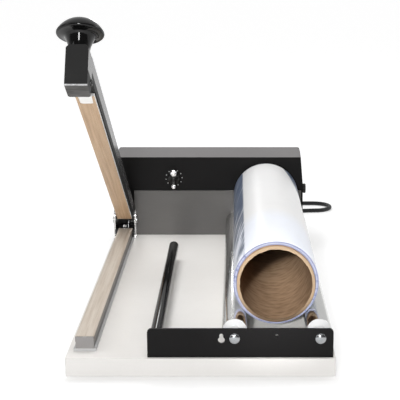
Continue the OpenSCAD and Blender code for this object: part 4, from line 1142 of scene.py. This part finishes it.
@dataclass
class FilmRoll:
    """Cardboard core with its ragged cut ends, and the film wound on it."""

    centre: tuple = (77.45, 59.353)
    bore_r: float = 38.1
    core_r: float = 41.1
    film_r: float = 45.1
    film_ends: tuple = (65.0, 489.0)
    core_ends: tuple = (59.0, 490.0)
    gap: float = 0.05
    tear: float = 1.5
    fray: float = 0.4
    fray_depth: float = 2.0
    chamfer: float = 0.5
    slack: float = 0.25
    wave: float = 0.22
    edge: float = 0.4
    steps: int = 180
    rows: int = 60

    def build(self) -> None:
        """Makes the core and the film."""
        Shop.piece("kraft_core", self._core(), Finishes.cardboard, "film_roll", ["film_core"])
        Shop.piece("film_layers", self._film(), Finishes.film, "film_roll", ["film_winding"])

    def _hoop(self, name: str, bands: Sequence[tuple], smooth: float) -> Mesh:
        """Makes a closed hoop round the roll's axis.

        Args:
            name: The mesh's name.
            bands: Place along the machine in millimetres and radius of each ring, in order.
            smooth: Largest angle in degrees between faces that blend.

        Returns:
            The mesh.
        """
        shape = bmesh.new()
        x, z = self.centre
        rings = []
        for y, radius in bands:
            ring = []
            for k in range(self.steps):
                angle = 2 * math.pi * k / self.steps
                wide = radius(angle)
                place = machine_point(x + wide * math.sin(angle), y, z + wide * math.cos(angle))
                ring.append(shape.verts.new(place))
            rings.append(ring)
        Shop.bridged(shape, rings + rings[:1], capped=False)
        return Shop.mesh(name, shape, smooth)

    @staticmethod
    def _even(radius: float) -> Radius:
        """Gives the same radius in millimetres at every angle."""
        return lambda angle: radius

    def _ragged(self, depth: float) -> Radius:
        """Gives the bore's radius near a cut end.

        Args:
            depth: How far fibres stand inwards, in millimetres.

        Returns:
            The radius at an angle.
        """

        def radius(angle: float) -> float:
            """Gives the radius at one angle.

            Args:
                angle: Radians from the roll's top.

            Returns:
                The radius in millimetres.
            """
            torn = noise.noise(Vector((math.cos(angle) * 7, math.sin(angle) * 7, depth)))
            fibre = noise.noise(Vector((math.cos(angle) * 26, math.sin(angle) * 26, depth)))
            return self.bore_r - depth * max(0.0, 0.75 * torn + 0.4 * fibre)

        return radius

    def _loose(self, y: float) -> Radius:
        """Gives the film's radius at one place along the roll.

        Args:
            y: The place in millimetres.

        Returns:
            The radius at an angle.
        """

        def radius(angle: float) -> float:
            """Radius at one angle."""
            place = Vector((math.cos(angle) * 1.6, math.sin(angle) * 1.6, y * 0.012))
            return self.film_r - self.slack + self.wave * noise.noise(place)

        return radius

    def _core(self) -> Mesh:
        """Makes the tube, with a torn inner edge at both ends.

        Returns:
            The core's mesh.
        """
        first, last = self.core_ends
        bands = [(first, self._ragged(self.tear)), (first + self.fray_depth, self._ragged(self.fray))]
        for k in range(1, self.rows):
            bands.append((first + (last - first) * k / self.rows, self._even(self.bore_r)))
        bands += [(last - self.fray_depth, self._ragged(self.fray)), (last, self._ragged(self.tear))]
        outer = self._even(self.core_r - self.gap)
        bands += [(last, outer), (first + self.chamfer, outer)]
        bands.append((first, self._even(self.core_r - self.chamfer)))
        return self._hoop("kraft_core", bands, 50.0)

    def _film(self) -> Mesh:
        """Makes the wound film, slightly uneven along and round the roll.

        Returns:
            The film's mesh.
        """
        first, last = self.film_ends
        inner = self.core_r + self.gap
        bands = [(first, self._even(inner))]
        for layer, lift in ((0.25, -0.12), (0.5, 0.12), (0.75, -0.12)):
            wide = inner + (self.film_r - 0.5 - inner) * layer
            bands.append((first + 0.2 + lift, self._even(wide)))
        bands.append((first + 0.05, self._even(self.film_r - 0.55)))
        for k in range(self.rows + 1):
            y = first + self.edge + (last - first - 2 * self.edge) * k / self.rows
            bands.append((y, self._loose(y)))
        bands += [(last, self._even(self.film_r - 0.5)), (last, self._even(inner))]
        return self._hoop("film_layers", bands, 60.0)


@dataclass
class LowerJaw:
    """Insulating strip, heated bar and its slip tape."""

    middle_x: float = -118.5
    half_w: float = 9.65
    top: float = 16.0
    lap: float = 6.0
    corner: float = 0.5
    thick: float = 0.35
    creases: Sequence[float] = (-5.0, 0.0, 5.0)
    ripple: float = 0.12
    ends: tuple = (22.0, 469.8)
    rows: int = 150

    def build(self) -> None:
        """Dresses the jaw."""
        Shop.eased("jaw_strip", 0.4, Finishes.white_plastic)
        bar = Shop.eased("jaw_bar", 0.3, Finishes.bare_bar)
        # The bar's side faces are darker than the rest of it.
        for way in (LEFT, RIGHT):
            Shop.cover(bar, Finishes.dark_side, way, 0.7)
        Shop.piece("jaw_slip_tape", self._tape(), Finishes.jaw_tape, "machine", ["jaw_tape"])

    def _settled(self, x: float, y: float, z: float) -> Vector:
        """Gives a point of the tape, let down a little where its top ripples."""
        wave = max(0.0, noise.noise(Vector((x * 0.12, y * 0.05, 3.0)))) if z > self.top - 0.1 else 0.0
        return machine_point(self.middle_x + x, y, z - self.ripple * wave)

    def _tape(self) -> Mesh:
        """Folds a strip of tape over the bar, with faint ripples along its top.

        Returns:
            The tape's mesh.
        """
        shape = bmesh.new()
        first, last = self.ends
        side, top, bend = self.half_w, self.top, self.corner
        outer = [(-side, top - self.lap), (-side, top - bend), (-side + bend, top)]
        outer += [(x, top) for x in self.creases]
        outer += [(side - bend, top), (side, top - bend), (side, top - self.lap)]
        inner = [(x * (side - self.thick) / side, min(z, top - self.thick)) for x, z in reversed(outer)]
        rings = []
        for k in range(self.rows + 1):
            y = first + (last - first) * k / self.rows
            rings.append([shape.verts.new(self._settled(x, y, z)) for x, z in outer + inner])
        Shop.bridged(shape, rings)
        return Shop.mesh("jaw_slip_tape", shape, 50.0)


@dataclass
class SealingArm:
    """Raised arm with its heel, pad, tape, end block and knob, and the hinge with its spring and plunger."""

    pivot: Vector = field(default_factory=lambda: machine_point(*ARM_PIVOT))
    tape_span: tuple = (30.0, 469.8)
    tape_half: float = 9.75
    tape_top: float = 0.38
    tape_hem: float = 1.2
    tape_rows: int = 150
    ripple: float = 0.14
    notch: tuple = (449.8, 7.3125, 4.0)
    notch_steps: int = 12
    knob_at: float = 519.8
    knob_h: float = 33.8
    top: float = 28.0
    screw_at: tuple = (11.25, 510.4, -2.5)
    head_h: float = 2.0
    spring_wire: float = 1.4
    spring_r: float = 5.4
    spring_left: float = 3.2
    spring_pitch: float = 1.95
    spring_turns: int = 4
    spring_leg: float = 12.0
    spring_from: float = 107.5
    plunger_r: float = 2.5

    def point(self, x: float, along: float, height: float) -> Vector:
        """Gives a point of the raised arm.

        Args:
            x: Millimetres to the right of the arm's middle.
            along: Millimetres forwards from the pivot.
            height: Millimetres above the sealing face.

        Returns:
            The point in the part's frame, in metres.
        """
        return self.pivot + RAISED @ (Vector((x, -along, height - PAD_DROP)) * MM)

    def build(self) -> None:
        """Dresses the arm and its hinge."""
        up = RAISED @ UPWARD
        Shop.eased("arm_bar", 0.7, Finishes.arm_bar)
        Shop.eased("arm_heel", 0.6, Finishes.black_block)
        block = Shop.eased("end_block", 0.9, Finishes.black_block, 3)
        # The front chamfer is bright: worn bare, and partly a painted highlight.
        Shop.cover(block, Finishes.edge_wear_highlight, RAISED @ FORWARD - up, 0.9)
        Shop.cover(block, Finishes.block_side, RIGHT)
        # The underside is grey: scuffs, and partly a painted reflection of the floor.
        Shop.cover(block, Finishes.scuffs_and_reflection, -up)
        Shop.eased("arm_pad", 0.5, Finishes.silicone)
        Shop.eased("hinge_bracket", 0.35, Finishes.nickel)
        Shop.eased("hinge_block", 0.5, Finishes.black_block)
        Shop.piece("arm_slip_tape", self._tape(), Finishes.arm_tape, "arm", ["arm_tape"])
        Shop.piece("mushroom_knob", self._knob(up), Finishes.black_gloss, "arm", ["handle_knob"])
        head = Shop.screw_head(SCREW_R, self.head_h, RIGHT, SCREW_SLOT)
        place = [self.point(*self.screw_at)]
        Shop.heads("block_screw_head", head, place, Finishes.dark_screw, "arm", "end_block_screw")
        Shop.piece("plunger_pin", self._plunger(), Finishes.chrome, "plunger", ["switch_plunger"])
        self._spring()

    def _tape_end(self, x: float) -> float:
        """Gives where the tape ends: it leaves a round notch that bares the pad's end.

        Args:
            x: Millimetres to the right of the arm's middle.

        Returns:
            Millimetres forwards from the pivot.
        """
        deep, half, radius = self.notch
        if abs(x) >= half:
            return self.tape_span[1]
        over = max(0.0, abs(x) - (half - radius))
        return deep + radius - math.sqrt(max(0.0, radius ** 2 - over ** 2))

    def _tape(self) -> Mesh:
        """Lays the tape on the pad, with faint ripples.

        Returns:
            The tape's mesh.
        """
        shape = bmesh.new()
        first = self.tape_span[0]
        rows, steps, hem = self.tape_rows, self.notch_steps, self.tape_half - self.tape_hem
        inside = [self.notch[1] * k / steps for k in range(-steps, steps + 1)]
        across = [-self.tape_half, -hem] + inside + [hem, self.tape_half]
        low = []
        high = []
        for x in across:
            end = self._tape_end(x)
            places = [first + (end - first) * k / rows for k in range(rows + 1)]
            low.append([])
            high.append([])
            for along in places:
                wave = max(0.0, noise.noise(Vector((x * 0.1, along * 0.04, 9.0))))
                low[-1].append(shape.verts.new(self.point(x, along, self.ripple * wave)))
                high[-1].append(shape.verts.new(self.point(x, along, self.tape_top)))
        for c in range(len(across) - 1):
            for k in range(rows):
                for sheet in (low, high):
                    shape.faces.new((sheet[c][k], sheet[c][k + 1], sheet[c + 1][k + 1], sheet[c + 1][k]))
            for k in (0, rows):
                shape.faces.new((low[c][k], low[c + 1][k], high[c + 1][k], high[c][k]))
        for c in (0, len(across) - 1):
            for k in range(rows):
                shape.faces.new((low[c][k], low[c][k + 1], high[c][k + 1], high[c][k]))
        return Shop.mesh("arm_slip_tape", shape, 50.0)

    def _knob(self, up: Vector) -> Mesh:
        """Turns the mushroom knob: neck, collar, thin rim and low dome.

        Args:
            up: The direction in which it stands.

        Returns:
            The knob's mesh.
        """
        rim_at, rim_h, rim_r = 22.0, 18.56, 2.0
        under_top = self.knob_h - rim_r
        dome_h = (rim_at ** 2 + rim_h ** 2 - under_top ** 2) / (2 * (rim_h - under_top))
        meet = math.degrees(math.atan2(rim_h - dome_h, rim_at))
        outline = [(0.0, 0.0), (9.8, 0.0), (10.5, 0.5), (11.1, 4.0), (12.6, 8.2), (14.1, 12.0)]
        outline += [(15.2, 14.4), (16.6, 15.3)]
        outline += Shop.arc((rim_at, rim_h), rim_r, -98, meet, 14)
        outline += Shop.arc((0.0, dome_h), self.knob_h - dome_h, meet + 3, 88, 20)
        outline.append((0.0, self.knob_h))
        shape = Shop.turned(outline, self.point(0.0, self.knob_at, self.top), up, 96)
        return Shop.mesh("mushroom_knob", shape, 40.0)

    def _wound(self, angle: float) -> Vector:
        """Gives the middle of the spring's wire at one angle.

        Args:
            angle: Degrees round the hinge pin.

        Returns:
            The point in metres.
        """
        turn = math.radians(angle)
        along = self.spring_left + self.spring_pitch * (angle - self.spring_from) / 360
        radius = self.spring_r
        return self.pivot + Vector((along, -radius * math.sin(turn), -radius * math.cos(turn))) * MM

    def _spring(self) -> None:
        """Winds the return spring round the hinge pin, one leg along the raised arm."""
        first = self.spring_from
        last = 360 * self.spring_turns + math.degrees(OPEN_ANGLE)
        steps = 36 * self.spring_turns
        legs = 6
        points = [self._wound(first + (last - first) * k / steps) for k in range(steps + 1)]
        lower = Vector((0, math.cos(math.radians(first)), -math.sin(math.radians(first))))
        reach = [self.spring_leg * k / legs * MM for k in range(1, legs + 1)]
        points = [points[0] + lower * far for far in reversed(reach)] + points
        points += [points[-1] + (RAISED @ FORWARD) * far for far in reach]
        wire = Shop.wire("arm_spring", points, self.spring_wire, 3)
        mesh = Shop.plain(Shop.placed("arm_spring_wire", wire))
        Shop.covered(mesh, Finishes.steel)
        mesh.shade_smooth()
        spring = Shop.placed("arm_spring", mesh)
        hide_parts("return_spring")
        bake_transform(spring)
        LOG.info("piece arm_spring between machine and arm")

    def _plunger(self) -> Mesh:
        """Turns the plunger with its round tip.

        Returns:
            The plunger's mesh.
        """
        low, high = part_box("switch_plunger")
        centre = Vector(((low.x + high.x) / 2, (low.y + high.y) / 2, low.z))
        length = (high.z - low.z) / MM
        radius = self.plunger_r
        outline = [(0.0, 0.0), (radius, 0.0), (radius, length - radius)]
        outline += Shop.arc((0.0, length - radius), radius, 9, 81, 8) + [(0.0, length)]
        return Shop.mesh("plunger_pin", Shop.turned(outline, centre, UPWARD, 40))


@dataclass
class TimerHousing:
    """Grey panel, black hood, timer dial and fuse cap."""

    hood_front: float = 497.0
    strip_slope: tuple = (0.0, -10.5, 22.5)
    screw_x: Sequence[float] = (-105.0, 0.0, 110.0)
    screw_seat: tuple = (590.0, 14.0)
    head_h: float = 2.4
    dial: tuple = (-51.6, 82.0)
    knob_front: float = 487.4
    knob_deep: float = 9.0
    dots_r: float = 11.3
    dots: int = 10
    dots_from: float = -61.0
    dots_to: float = 221.0
    dot_r: float = 0.75
    dot_h: float = 0.08
    pointer_up: tuple = (9.2, 4.75)
    pointer_down: tuple = (-10.0, 3.3)
    button_gap: tuple = (0.15, 0.1)
    fuse: tuple = (130.1, 530.0, 60.0)
    flutes: int = 12
    flute_deep: float = 0.5

    def build(self) -> None:
        """Dresses the housing and what stands on it."""
        hood = Shop.eased("hood", 0.7, Finishes.black_coat, 3)
        # The strip gets painted reflection, a grey copy of the black coat.
        Shop.cover(hood, Finishes.strip_reflection, Vector(self.strip_slope), 0.985)
        Shop.eased("chassis", 0.7, Finishes.grey_coat)
        head = Shop.screw_head(SCREW_R, self.head_h, REARWARD, SCREW_SLOT)
        places = [machine_point(x, *self.screw_seat) for x in self.screw_x]
        Shop.heads("hood_screw_heads", head, places, Finishes.black_coat, "machine", "hood_screws")
        Shop.piece("dial_dots", self._dots(), Finishes.dial_mark, "machine")
        Shop.piece("dial_knob", self._knob(), Finishes.black_gloss, "dial", ["timer_knob"])
        Shop.piece("dial_pointer", self._pointer(), Finishes.black_gloss, "dial", ["timer_pointer"])
        Shop.piece("dial_caps", self._caps(), Finishes.chrome, "dial")
        Shop.piece("fuse_grip", self._fuse_cap(), Finishes.black_block, "fuse_cap", ["fuse_cap"])

    def _dots(self) -> Mesh:
        """Prints the scale's dots round the dial.

        Returns:
            The dots as one mesh.
        """
        outline = [(0, 0), (self.dot_r, 0), (self.dot_r, self.dot_h), (0, self.dot_h)]
        dot = Shop.mesh("dot", Shop.turned(outline, Vector(), FORWARD, 16))
        ring = Shop.arc(self.dial, self.dots_r, self.dots_from, self.dots_to, self.dots - 1)
        places = [machine_point(x, self.hood_front, z) for x, z in ring]
        return Shop.repeated("dial_dots", dot, places, Finishes.dial_mark)

    def _knob(self) -> Mesh:
        """Turns the black knob with its hub cap.

        Returns:
            The knob's mesh.
        """
        outline = [(0.0, 0.0), (5.6, 0.0), (8.6, 0.0)] + Shop.arc((8.4, 0.6), 0.6, -70, 0, 3)
        outline += Shop.arc((7.6, 7.6), 1.4, 0, 80, 5) + [(2.9, self.knob_deep), (2.9, 12.4)]
        outline += Shop.arc((1.8, 12.4), 1.1, 0, 90, 4) + [(0.0, 13.5)]
        centre = machine_point(self.dial[0], self.knob_front + self.knob_deep, self.dial[1])
        return Shop.mesh("dial_knob", Shop.turned(outline, centre, FORWARD, 64))

    def _pointer(self) -> Mesh:
        """Domes the polished pointer over the knob.

        Returns:
            The pointer's mesh.
        """
        (up, wide), (down, narrow) = self.pointer_up, self.pointer_down
        across, level = self.dial
        outline = Shop.arc((0.0, up), wide, -8, 188, 28) + Shop.arc((0.0, down), narrow, 182, 357, 25)
        shape = bmesh.new()
        rings = []
        for inset, rise in ((0.0, 0.0), (0.0, 1.4), (0.2, 2.1), (0.6, 2.5), (1.2, 2.7), (2.6, 2.75)):
            ring = []
            for x, z in outline:
                spine = min(up, max(down, z))
                away = Vector((x, z - spine))
                reach = away.length
                away *= max(0.05, reach - inset) / reach
                place = machine_point(across + away.x, self.knob_front - rise, level + spine + away.y)
                ring.append(shape.verts.new(place))
            rings.append(ring)
        Shop.bridged(shape, rings)
        return Shop.mesh("dial_pointer", shape, 50.0)

    def _caps(self) -> Mesh:
        """Turns the two polished buttons on the pointer's ends.

        Returns:
            The buttons as one mesh.
        """
        shape = bmesh.new()
        side_h, dome_h, seat = 0.6, 0.9, 2.6
        for (rise, wide), gap in zip((self.pointer_up, self.pointer_down), self.button_gap):
            radius = round(wide - gap, 3)
            outline = [(0.0, 0.0), (radius, 0.0), (radius, side_h)]
            for angle in range(10, 90, 10):
                turn = math.radians(angle)
                outline.append((radius * math.cos(turn), side_h + dome_h * math.sin(turn)))
            outline.append((0.0, side_h + dome_h))
            place = machine_point(self.dial[0], self.knob_front - seat, self.dial[1] + rise)
            button = Shop.turned(outline, place, FORWARD, 48)
            loose = bpy.data.meshes.new("button")
            button.to_mesh(loose)
            button.free()
            shape.from_mesh(loose)
            bpy.data.meshes.remove(loose)
        return Shop.mesh("dial_caps", shape, 40.0)

    def _fuse_cap(self) -> Mesh:
        """Turns the fuse cap and cuts finger flutes into its rim.

        Returns:
            The cap's mesh.
        """
        outline = [(0.0, -9.0), (4.0, -9.0), (4.0, 0.0), (6.75, 0.0), (6.75, 4.4)]
        outline += Shop.arc((5.75, 4.7), 1.0, 0, 90, 4) + [(0.0, 5.7)]
        shape = Shop.turned(outline, Vector(), UPWARD, 96)
        for vert in shape.verts:
            radius = math.hypot(vert.co.x, vert.co.y) / MM
            if radius > 5.5:
                wave = max(0.0, math.cos(self.flutes * math.atan2(vert.co.y, vert.co.x)))
                vert.co.xy *= (radius - self.flute_deep * wave) / radius
        shape.transform(Matrix.Translation(machine_point(*self.fuse)) @ Shop.facing(RIGHT).to_4x4())
        return Shop.mesh("fuse_grip", shape, 40.0)


@dataclass
class PowerCord:
    """Mains lead: strain relief, loose loop, tied hank and plug."""

    diameter: float = 6.4
    outlet: tuple = (98.25, 320.0, 49.0)
    drop: Sequence[tuple] = (
        (0, 7, 0), (0, 20, -1), (0, 34, -5), (1, 47, -13), (3, 58, -23), (7, 69, -33), (13, 80, -40.5),
    )
    floor: Sequence[tuple] = (
        (119, 410), (129, 418.5), (141, 424.5), (154, 427), (167, 428), (177, 430), (185.4, 435.6),
        (191, 444), (193, 454), (191, 464), (185.4, 472.4), (177, 478), (167, 480), (152, 480),
        (136, 479.5), (120, 478.5), (104, 477), (88, 475),
    )
    lead_in: Sequence[tuple] = ((72, 473.4, 4.0), (60, 472.8, 4.8))
    tail: Sequence[tuple] = (
        (-56, 474.9, 12.4), (-70, 474, 11), (-84, 469.5, 8), (-95, 460, 5), (-101.5, 447, 5.4),
        (-104, 433, 8.6), (-104, 424, 10), (-104, 412, 10),
    )
    hank_at: tuple = (0.0, 436.0)
    loops: int = 2
    points_per_loop: int = 24
    run: float = 96.0
    fold_r: float = 20.0
    step: float = 8.4
    layer: float = 7.6
    waist: float = 10.0
    low: float = 4.8
    relief_l: float = 30.0
    ribs: int = 7
    rib_step: float = 3.55
    rib_deep: float = 0.9

    def hank_point(self, turn: float) -> Vector:
        """Gives a point of the hank.

        Args:
            turn: Loops wound so far.

        Returns:
            The point in millimetres.
        """
        part = 4 * (turn - math.floor(turn))
        quarter = math.floor(part)
        along = part - quarter
        radius = self.fold_r + self.step * abs(self.loops - turn)
        climb = max(0.0, min(1.0, 4 * (turn - self.loops)))
        height = self.low + self.layer * climb * climb * (3 - 2 * climb)
        side = 1 if quarter in (0, 3) else -1
        if quarter in (0, 2):
            x = self.run * (0.5 - along) * side
            y = (radius - self.waist * math.cos(math.pi * x / self.run) ** 2) * side
        else:
            angle = math.radians(180 * along - 90 * side)
            x = self.run * side / 2 + radius * math.cos(angle)
            y = radius * math.sin(angle)
        return Vector((self.hank_at[0] + x, self.hank_at[1] + y, height))

    def route(self) -> list[Vector]:
        """Gives the whole route in millimetres, from the strain relief to the plug.

        Returns:
            The points of the route.
        """
        exit_point = Vector(self.outlet)
        points = [exit_point] + [exit_point + Vector(p) for p in self.drop]
        points += [Vector((x, y, self.diameter / 2)) for x, y in self.floor]
        points += [Vector(p) for p in self.lead_in]
        last = int((2 * self.loops + 0.25) * self.points_per_loop)
        points += [self.hank_point(k / self.points_per_loop) for k in range(last + 1)]
        return points + [Vector(p) for p in self.tail]

    @staticmethod
    def smoothed(points: Sequence[Vector], parts: int) -> list[Vector]:
        """Runs a smooth curve through all points.

        Args:
            points: The points that it passes.
            parts: Stretches between two points.

        Returns:
            The closer points.
        """
        made = []
        for i in range(len(points) - 1):
            before = points[max(0, i - 1)]
            here, there = points[i], points[i + 1]
            after = points[min(len(points) - 1, i + 2)]
            bend = 2 * before - 5 * here + 4 * there - after
            twist = 3 * here - before - 3 * there + after
            for k in range(parts):
                t = k / parts
                made.append(0.5 * (2 * here + (there - before) * t + bend * t * t + twist * t ** 3))
        return made + [points[-1]]

    def build(self) -> None:
        points = [Vector((p.x, p.y, max(p.z, self.diameter / 2))) for p in self.smoothed(self.route(), 3)]
        curve = Shop.wire("power_lead", [point * MM for point in points], self.diameter, 6)
        Shop.covered(curve, Finishes.black_rubber)
        lead = Shop.placed("power_lead", curve)
        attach(lead, "machine")
        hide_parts("power_cord", "cord_hank")
        relief = Shop.piece(
            "cord_relief", self._relief(), Finishes.black_rubber, "machine", ["strain_relief"])
        plug = Shop.eased("plug_body", 1.2, Finishes.black_rubber, 3)
        tie = Shop.eased("cord_tie", 0.4, Finishes.black_rubber)
        blades = Shop.eased("plug_blades", 0.3, Finishes.brass)

    def _relief(self) -> Mesh:
        """Turns the strain relief with ribs along its taper.

        Returns:
            The strain relief's mesh.
        """
        outline = [(0.0, -7.0), (7.2, -7.0), (7.2, -2.0), (5.2, -2.0), (5.2, 0.0)]
        outline += [(7.7, 0.0), (7.7, 2.4), (7.1, 3.0)]
        for k in range(self.ribs):
            start = 4.0 + k * self.rib_step
            wide = 5.6 - 1.7 * k / self.ribs
            groove = wide - self.rib_deep
            outline += [(groove, start), (groove, start + 1.0), (wide, start + 1.3), (wide, start + 3.1)]
        outline += [(3.8, 29.2), (3.8, self.relief_l), (0.0, self.relief_l)]
        x, y, z = self.outlet
        shape = Shop.turned(outline, Vector((x, y - self.relief_l, z)) * MM, REARWARD, 40)
        return Shop.mesh("cord_relief", shape, 30.0)


class PlainSolids:
    """Solids that keep their shape and get a finish."""

    dressed: Sequence[tuple] = (
        (Finishes.steel, ("roller_axles", "axle_rear_nuts", "jaw_screws", "heating_ribbon")),
        (Finishes.steel, ("hinge_screws", "hinge_pin", "pin_clip", "knob_stud")),
        (Finishes.steel, ("chassis_screws", "transformer_core", "timer_shaft")),
        (Finishes.white_plastic, ("left_roller_bushings", "right_roller_bushings")),
        (Finishes.brass, ("ribbon_terminals", "board_standoffs")),
        (Finishes.black_block, ("arm_switch", "board_parts", "fuse_holder")),
        (Finishes.winding, ("transformer_coil",)),
        (Finishes.board, ("timer_board",)),
        (Finishes.bare_bar, ("timer_pot",)),
        (Finishes.glass, ("fuse",)),
    )

    def build(self) -> None:
        """Sets each solid's material."""
        for finish, solids in self.dressed:
            for node in solids:
                Shop.covered(frame["nodes"][node].data, finish)
                LOG.info("solid %s in %s", node, finish.name)


class LampKind(Enum):
    """Kinds of light in the studio."""

    SOFTBOX = "AREA"
    SPOT = "SPOT"


@dataclass(frozen=True)
class Lamp:
    """One light of the studio.

    Attributes:
        name: The light's name.
        place: Where it hangs, in metres.
        aim: What it points at.
        power: Watts.
        size: Width and height of a softbox in metres.
        kind: Softbox or spot.
        cone: Full angle of a spot in degrees.
        mirrored: Whether gloss shows it.
        rim: Soft share of a spot's cone.
        bulb: Radius of a spot's source in metres.
    """

    name: str
    place: tuple
    aim: tuple
    power: float
    size: tuple = (0.1, 0.1)
    kind: LampKind = LampKind.SOFTBOX
    cone: float = 10.0
    mirrored: bool = True
    rim: float = 0.25
    bulb: float = 0.05

    def hang(self) -> None:
        """Adds the light to the scene."""
        lamp = bpy.data.lights.new(self.name, self.kind.value)
        lamp.energy = self.power
        if self.kind is LampKind.SOFTBOX:
            lamp.shape = "RECTANGLE"
            lamp.size, lamp.size_y = self.size
        else:
            lamp.spot_size = math.radians(self.cone)
            lamp.spot_blend = self.rim
            lamp.shadow_soft_size = self.bulb
        made = Shop.placed(self.name, lamp)
        made.visible_glossy = self.mirrored
        made.location = self.place
        made.rotation_euler = (Vector(self.aim) - Vector(self.place)).to_track_quat("-Z", "Y").to_euler()


@dataclass
class Studio:
    """Pale floor, soft lights and the photograph's camera."""

    lens: float = 103.5
    sensor: float = 36.0
    place: tuple = (0.03895, -1.3891, 0.4337)
    tilt: float = 77.19
    shift: float = -0.09
    floor_tone: tuple = (0.68, 0.68, 0.68)
    floor_half: float = 9.0
    floor_rough: float = 0.75
    floor_glow: float = 0.6
    near_glow: tuple = (0.55, 0.55, 0.55)
    glow_reach: tuple = (0.5, 1.1)
    low_sky: tuple = (0.1, 0.1, 0.1)
    overhead: tuple = (0.55, 0.98, 0.0, 0.8)
    behind: tuple = (-0.35, 0.35, 0.0, 0.65)
    lamps: Sequence[Lamp] = (
        Lamp("overhead softbox", (-0.12, 0.12, 0.9), (0.0, 0.1, 0.0), 4.2, (0.5, 0.5), mirrored=False),
        Lamp("front softbox", (-0.13, -1.75, 0.58), (0.0, -0.1, 0.1), 16.0, (0.24, 0.6)),
        Lamp("left softbox", (-1.6, -0.9, 1.2), (0.0, -0.1, 0.1), 4.0, (0.7, 0.9)),
        Lamp("right softbox", (1.3, 0.1, 0.9), (0.08, 0.0, 0.08), 4.6, (0.6, 0.6)),
        Lamp("rear strip", (-0.128, 1.0, 0.474), (-0.04, -0.25, 0.05), 0.24, (0.12, 0.08)),
        Lamp("roll spot", (-0.13, -1.75, 0.58), (ROLL_X, -0.24, 0.082), 295.0, kind=LampKind.SPOT, cone=3.6),
    )

    def build(self) -> None:
        """Adds the camera, the floor, the lights and the sky."""
        self._camera()
        self._floor()
        for lamp in self.lamps:
            lamp.hang()
        self._sky()
        bpy.context.scene.view_settings.view_transform = "Standard"

    def _camera(self) -> None:
        """Adds the camera of the photograph's view."""
        lens = bpy.data.cameras.new("view")
        lens.lens = self.lens
        lens.sensor_width = self.sensor
        lens.shift_x = self.shift
        camera = Shop.placed("view", lens)
        camera.location = self.place
        camera.rotation_euler = (math.radians(self.tilt), 0.0, 0.0)
        bpy.context.scene.camera = camera

    def _floor(self) -> None:
        """Lays the pale floor, which glows less near the machine."""
        shape = bmesh.new()
        bmesh.ops.create_grid(shape, x_segments=4, y_segments=4, size=self.floor_half)
        mesh = bpy.data.meshes.new("floor")
        shape.to_mesh(mesh)
        shape.free()
        made = bpy.data.materials.new("pale floor")
        made.use_nodes = True
        nodes = ShaderTree(made.node_tree)
        shader = nodes.tree.nodes["Principled BSDF"]
        away = nodes.vector("LENGTH", nodes.add("ShaderNodeTexCoord").outputs["Object"])
        far = nodes.span(away.outputs["Value"], *self.glow_reach)
        nodes.put(shader, "Base Color", self.floor_tone)
        nodes.put(shader, "Roughness", self.floor_rough)
        nodes.put(shader, "Emission Color", nodes.blend(far, self.near_glow, WHITE))
        nodes.put(shader, "Emission Strength", self.floor_glow)
        mesh.materials.append(made)
        Shop.placed("floor", mesh)

    def _sky(self) -> None:
        """Lights the surroundings softly from above and behind, and shows plain white to the camera."""
        world = bpy.data.worlds.new("studio")
        world.use_nodes = True
        world.node_tree.nodes.clear()
        nodes = ShaderTree(world.node_tree)
        parts = nodes.parts(nodes.add("ShaderNodeTexCoord").outputs["Generated"])
        rise = nodes.span(parts["Z"], *self.overhead)
        back = nodes.span(parts["Y"], *self.behind)
        shade = nodes.blend(nodes.math("MAXIMUM", rise, back), self.low_sky, WHITE)
        seen = nodes.add("ShaderNodeLightPath").outputs["Is Camera Ray"]
        sky = nodes.add("ShaderNodeBackground", Color=nodes.blend(seen, shade, WHITE), Strength=1.0)
        nodes.add("ShaderNodeOutputWorld", Surface=sky.outputs["Background"])
        bpy.context.scene.world = world


def main() -> None:
    """Builds every sub-assembly in order."""
    logging.basicConfig(level=logging.INFO, format="%(name)s: %(message)s")
    Studio().build()
    PowerCord().build()
    BaseBoard().build()
    FilmCradle().build()
    FilmRoll().build()
    LowerJaw().build()
    SealingArm().build()
    TimerHousing().build()
    PlainSolids().build()


if __name__ == "__main__":
    main()
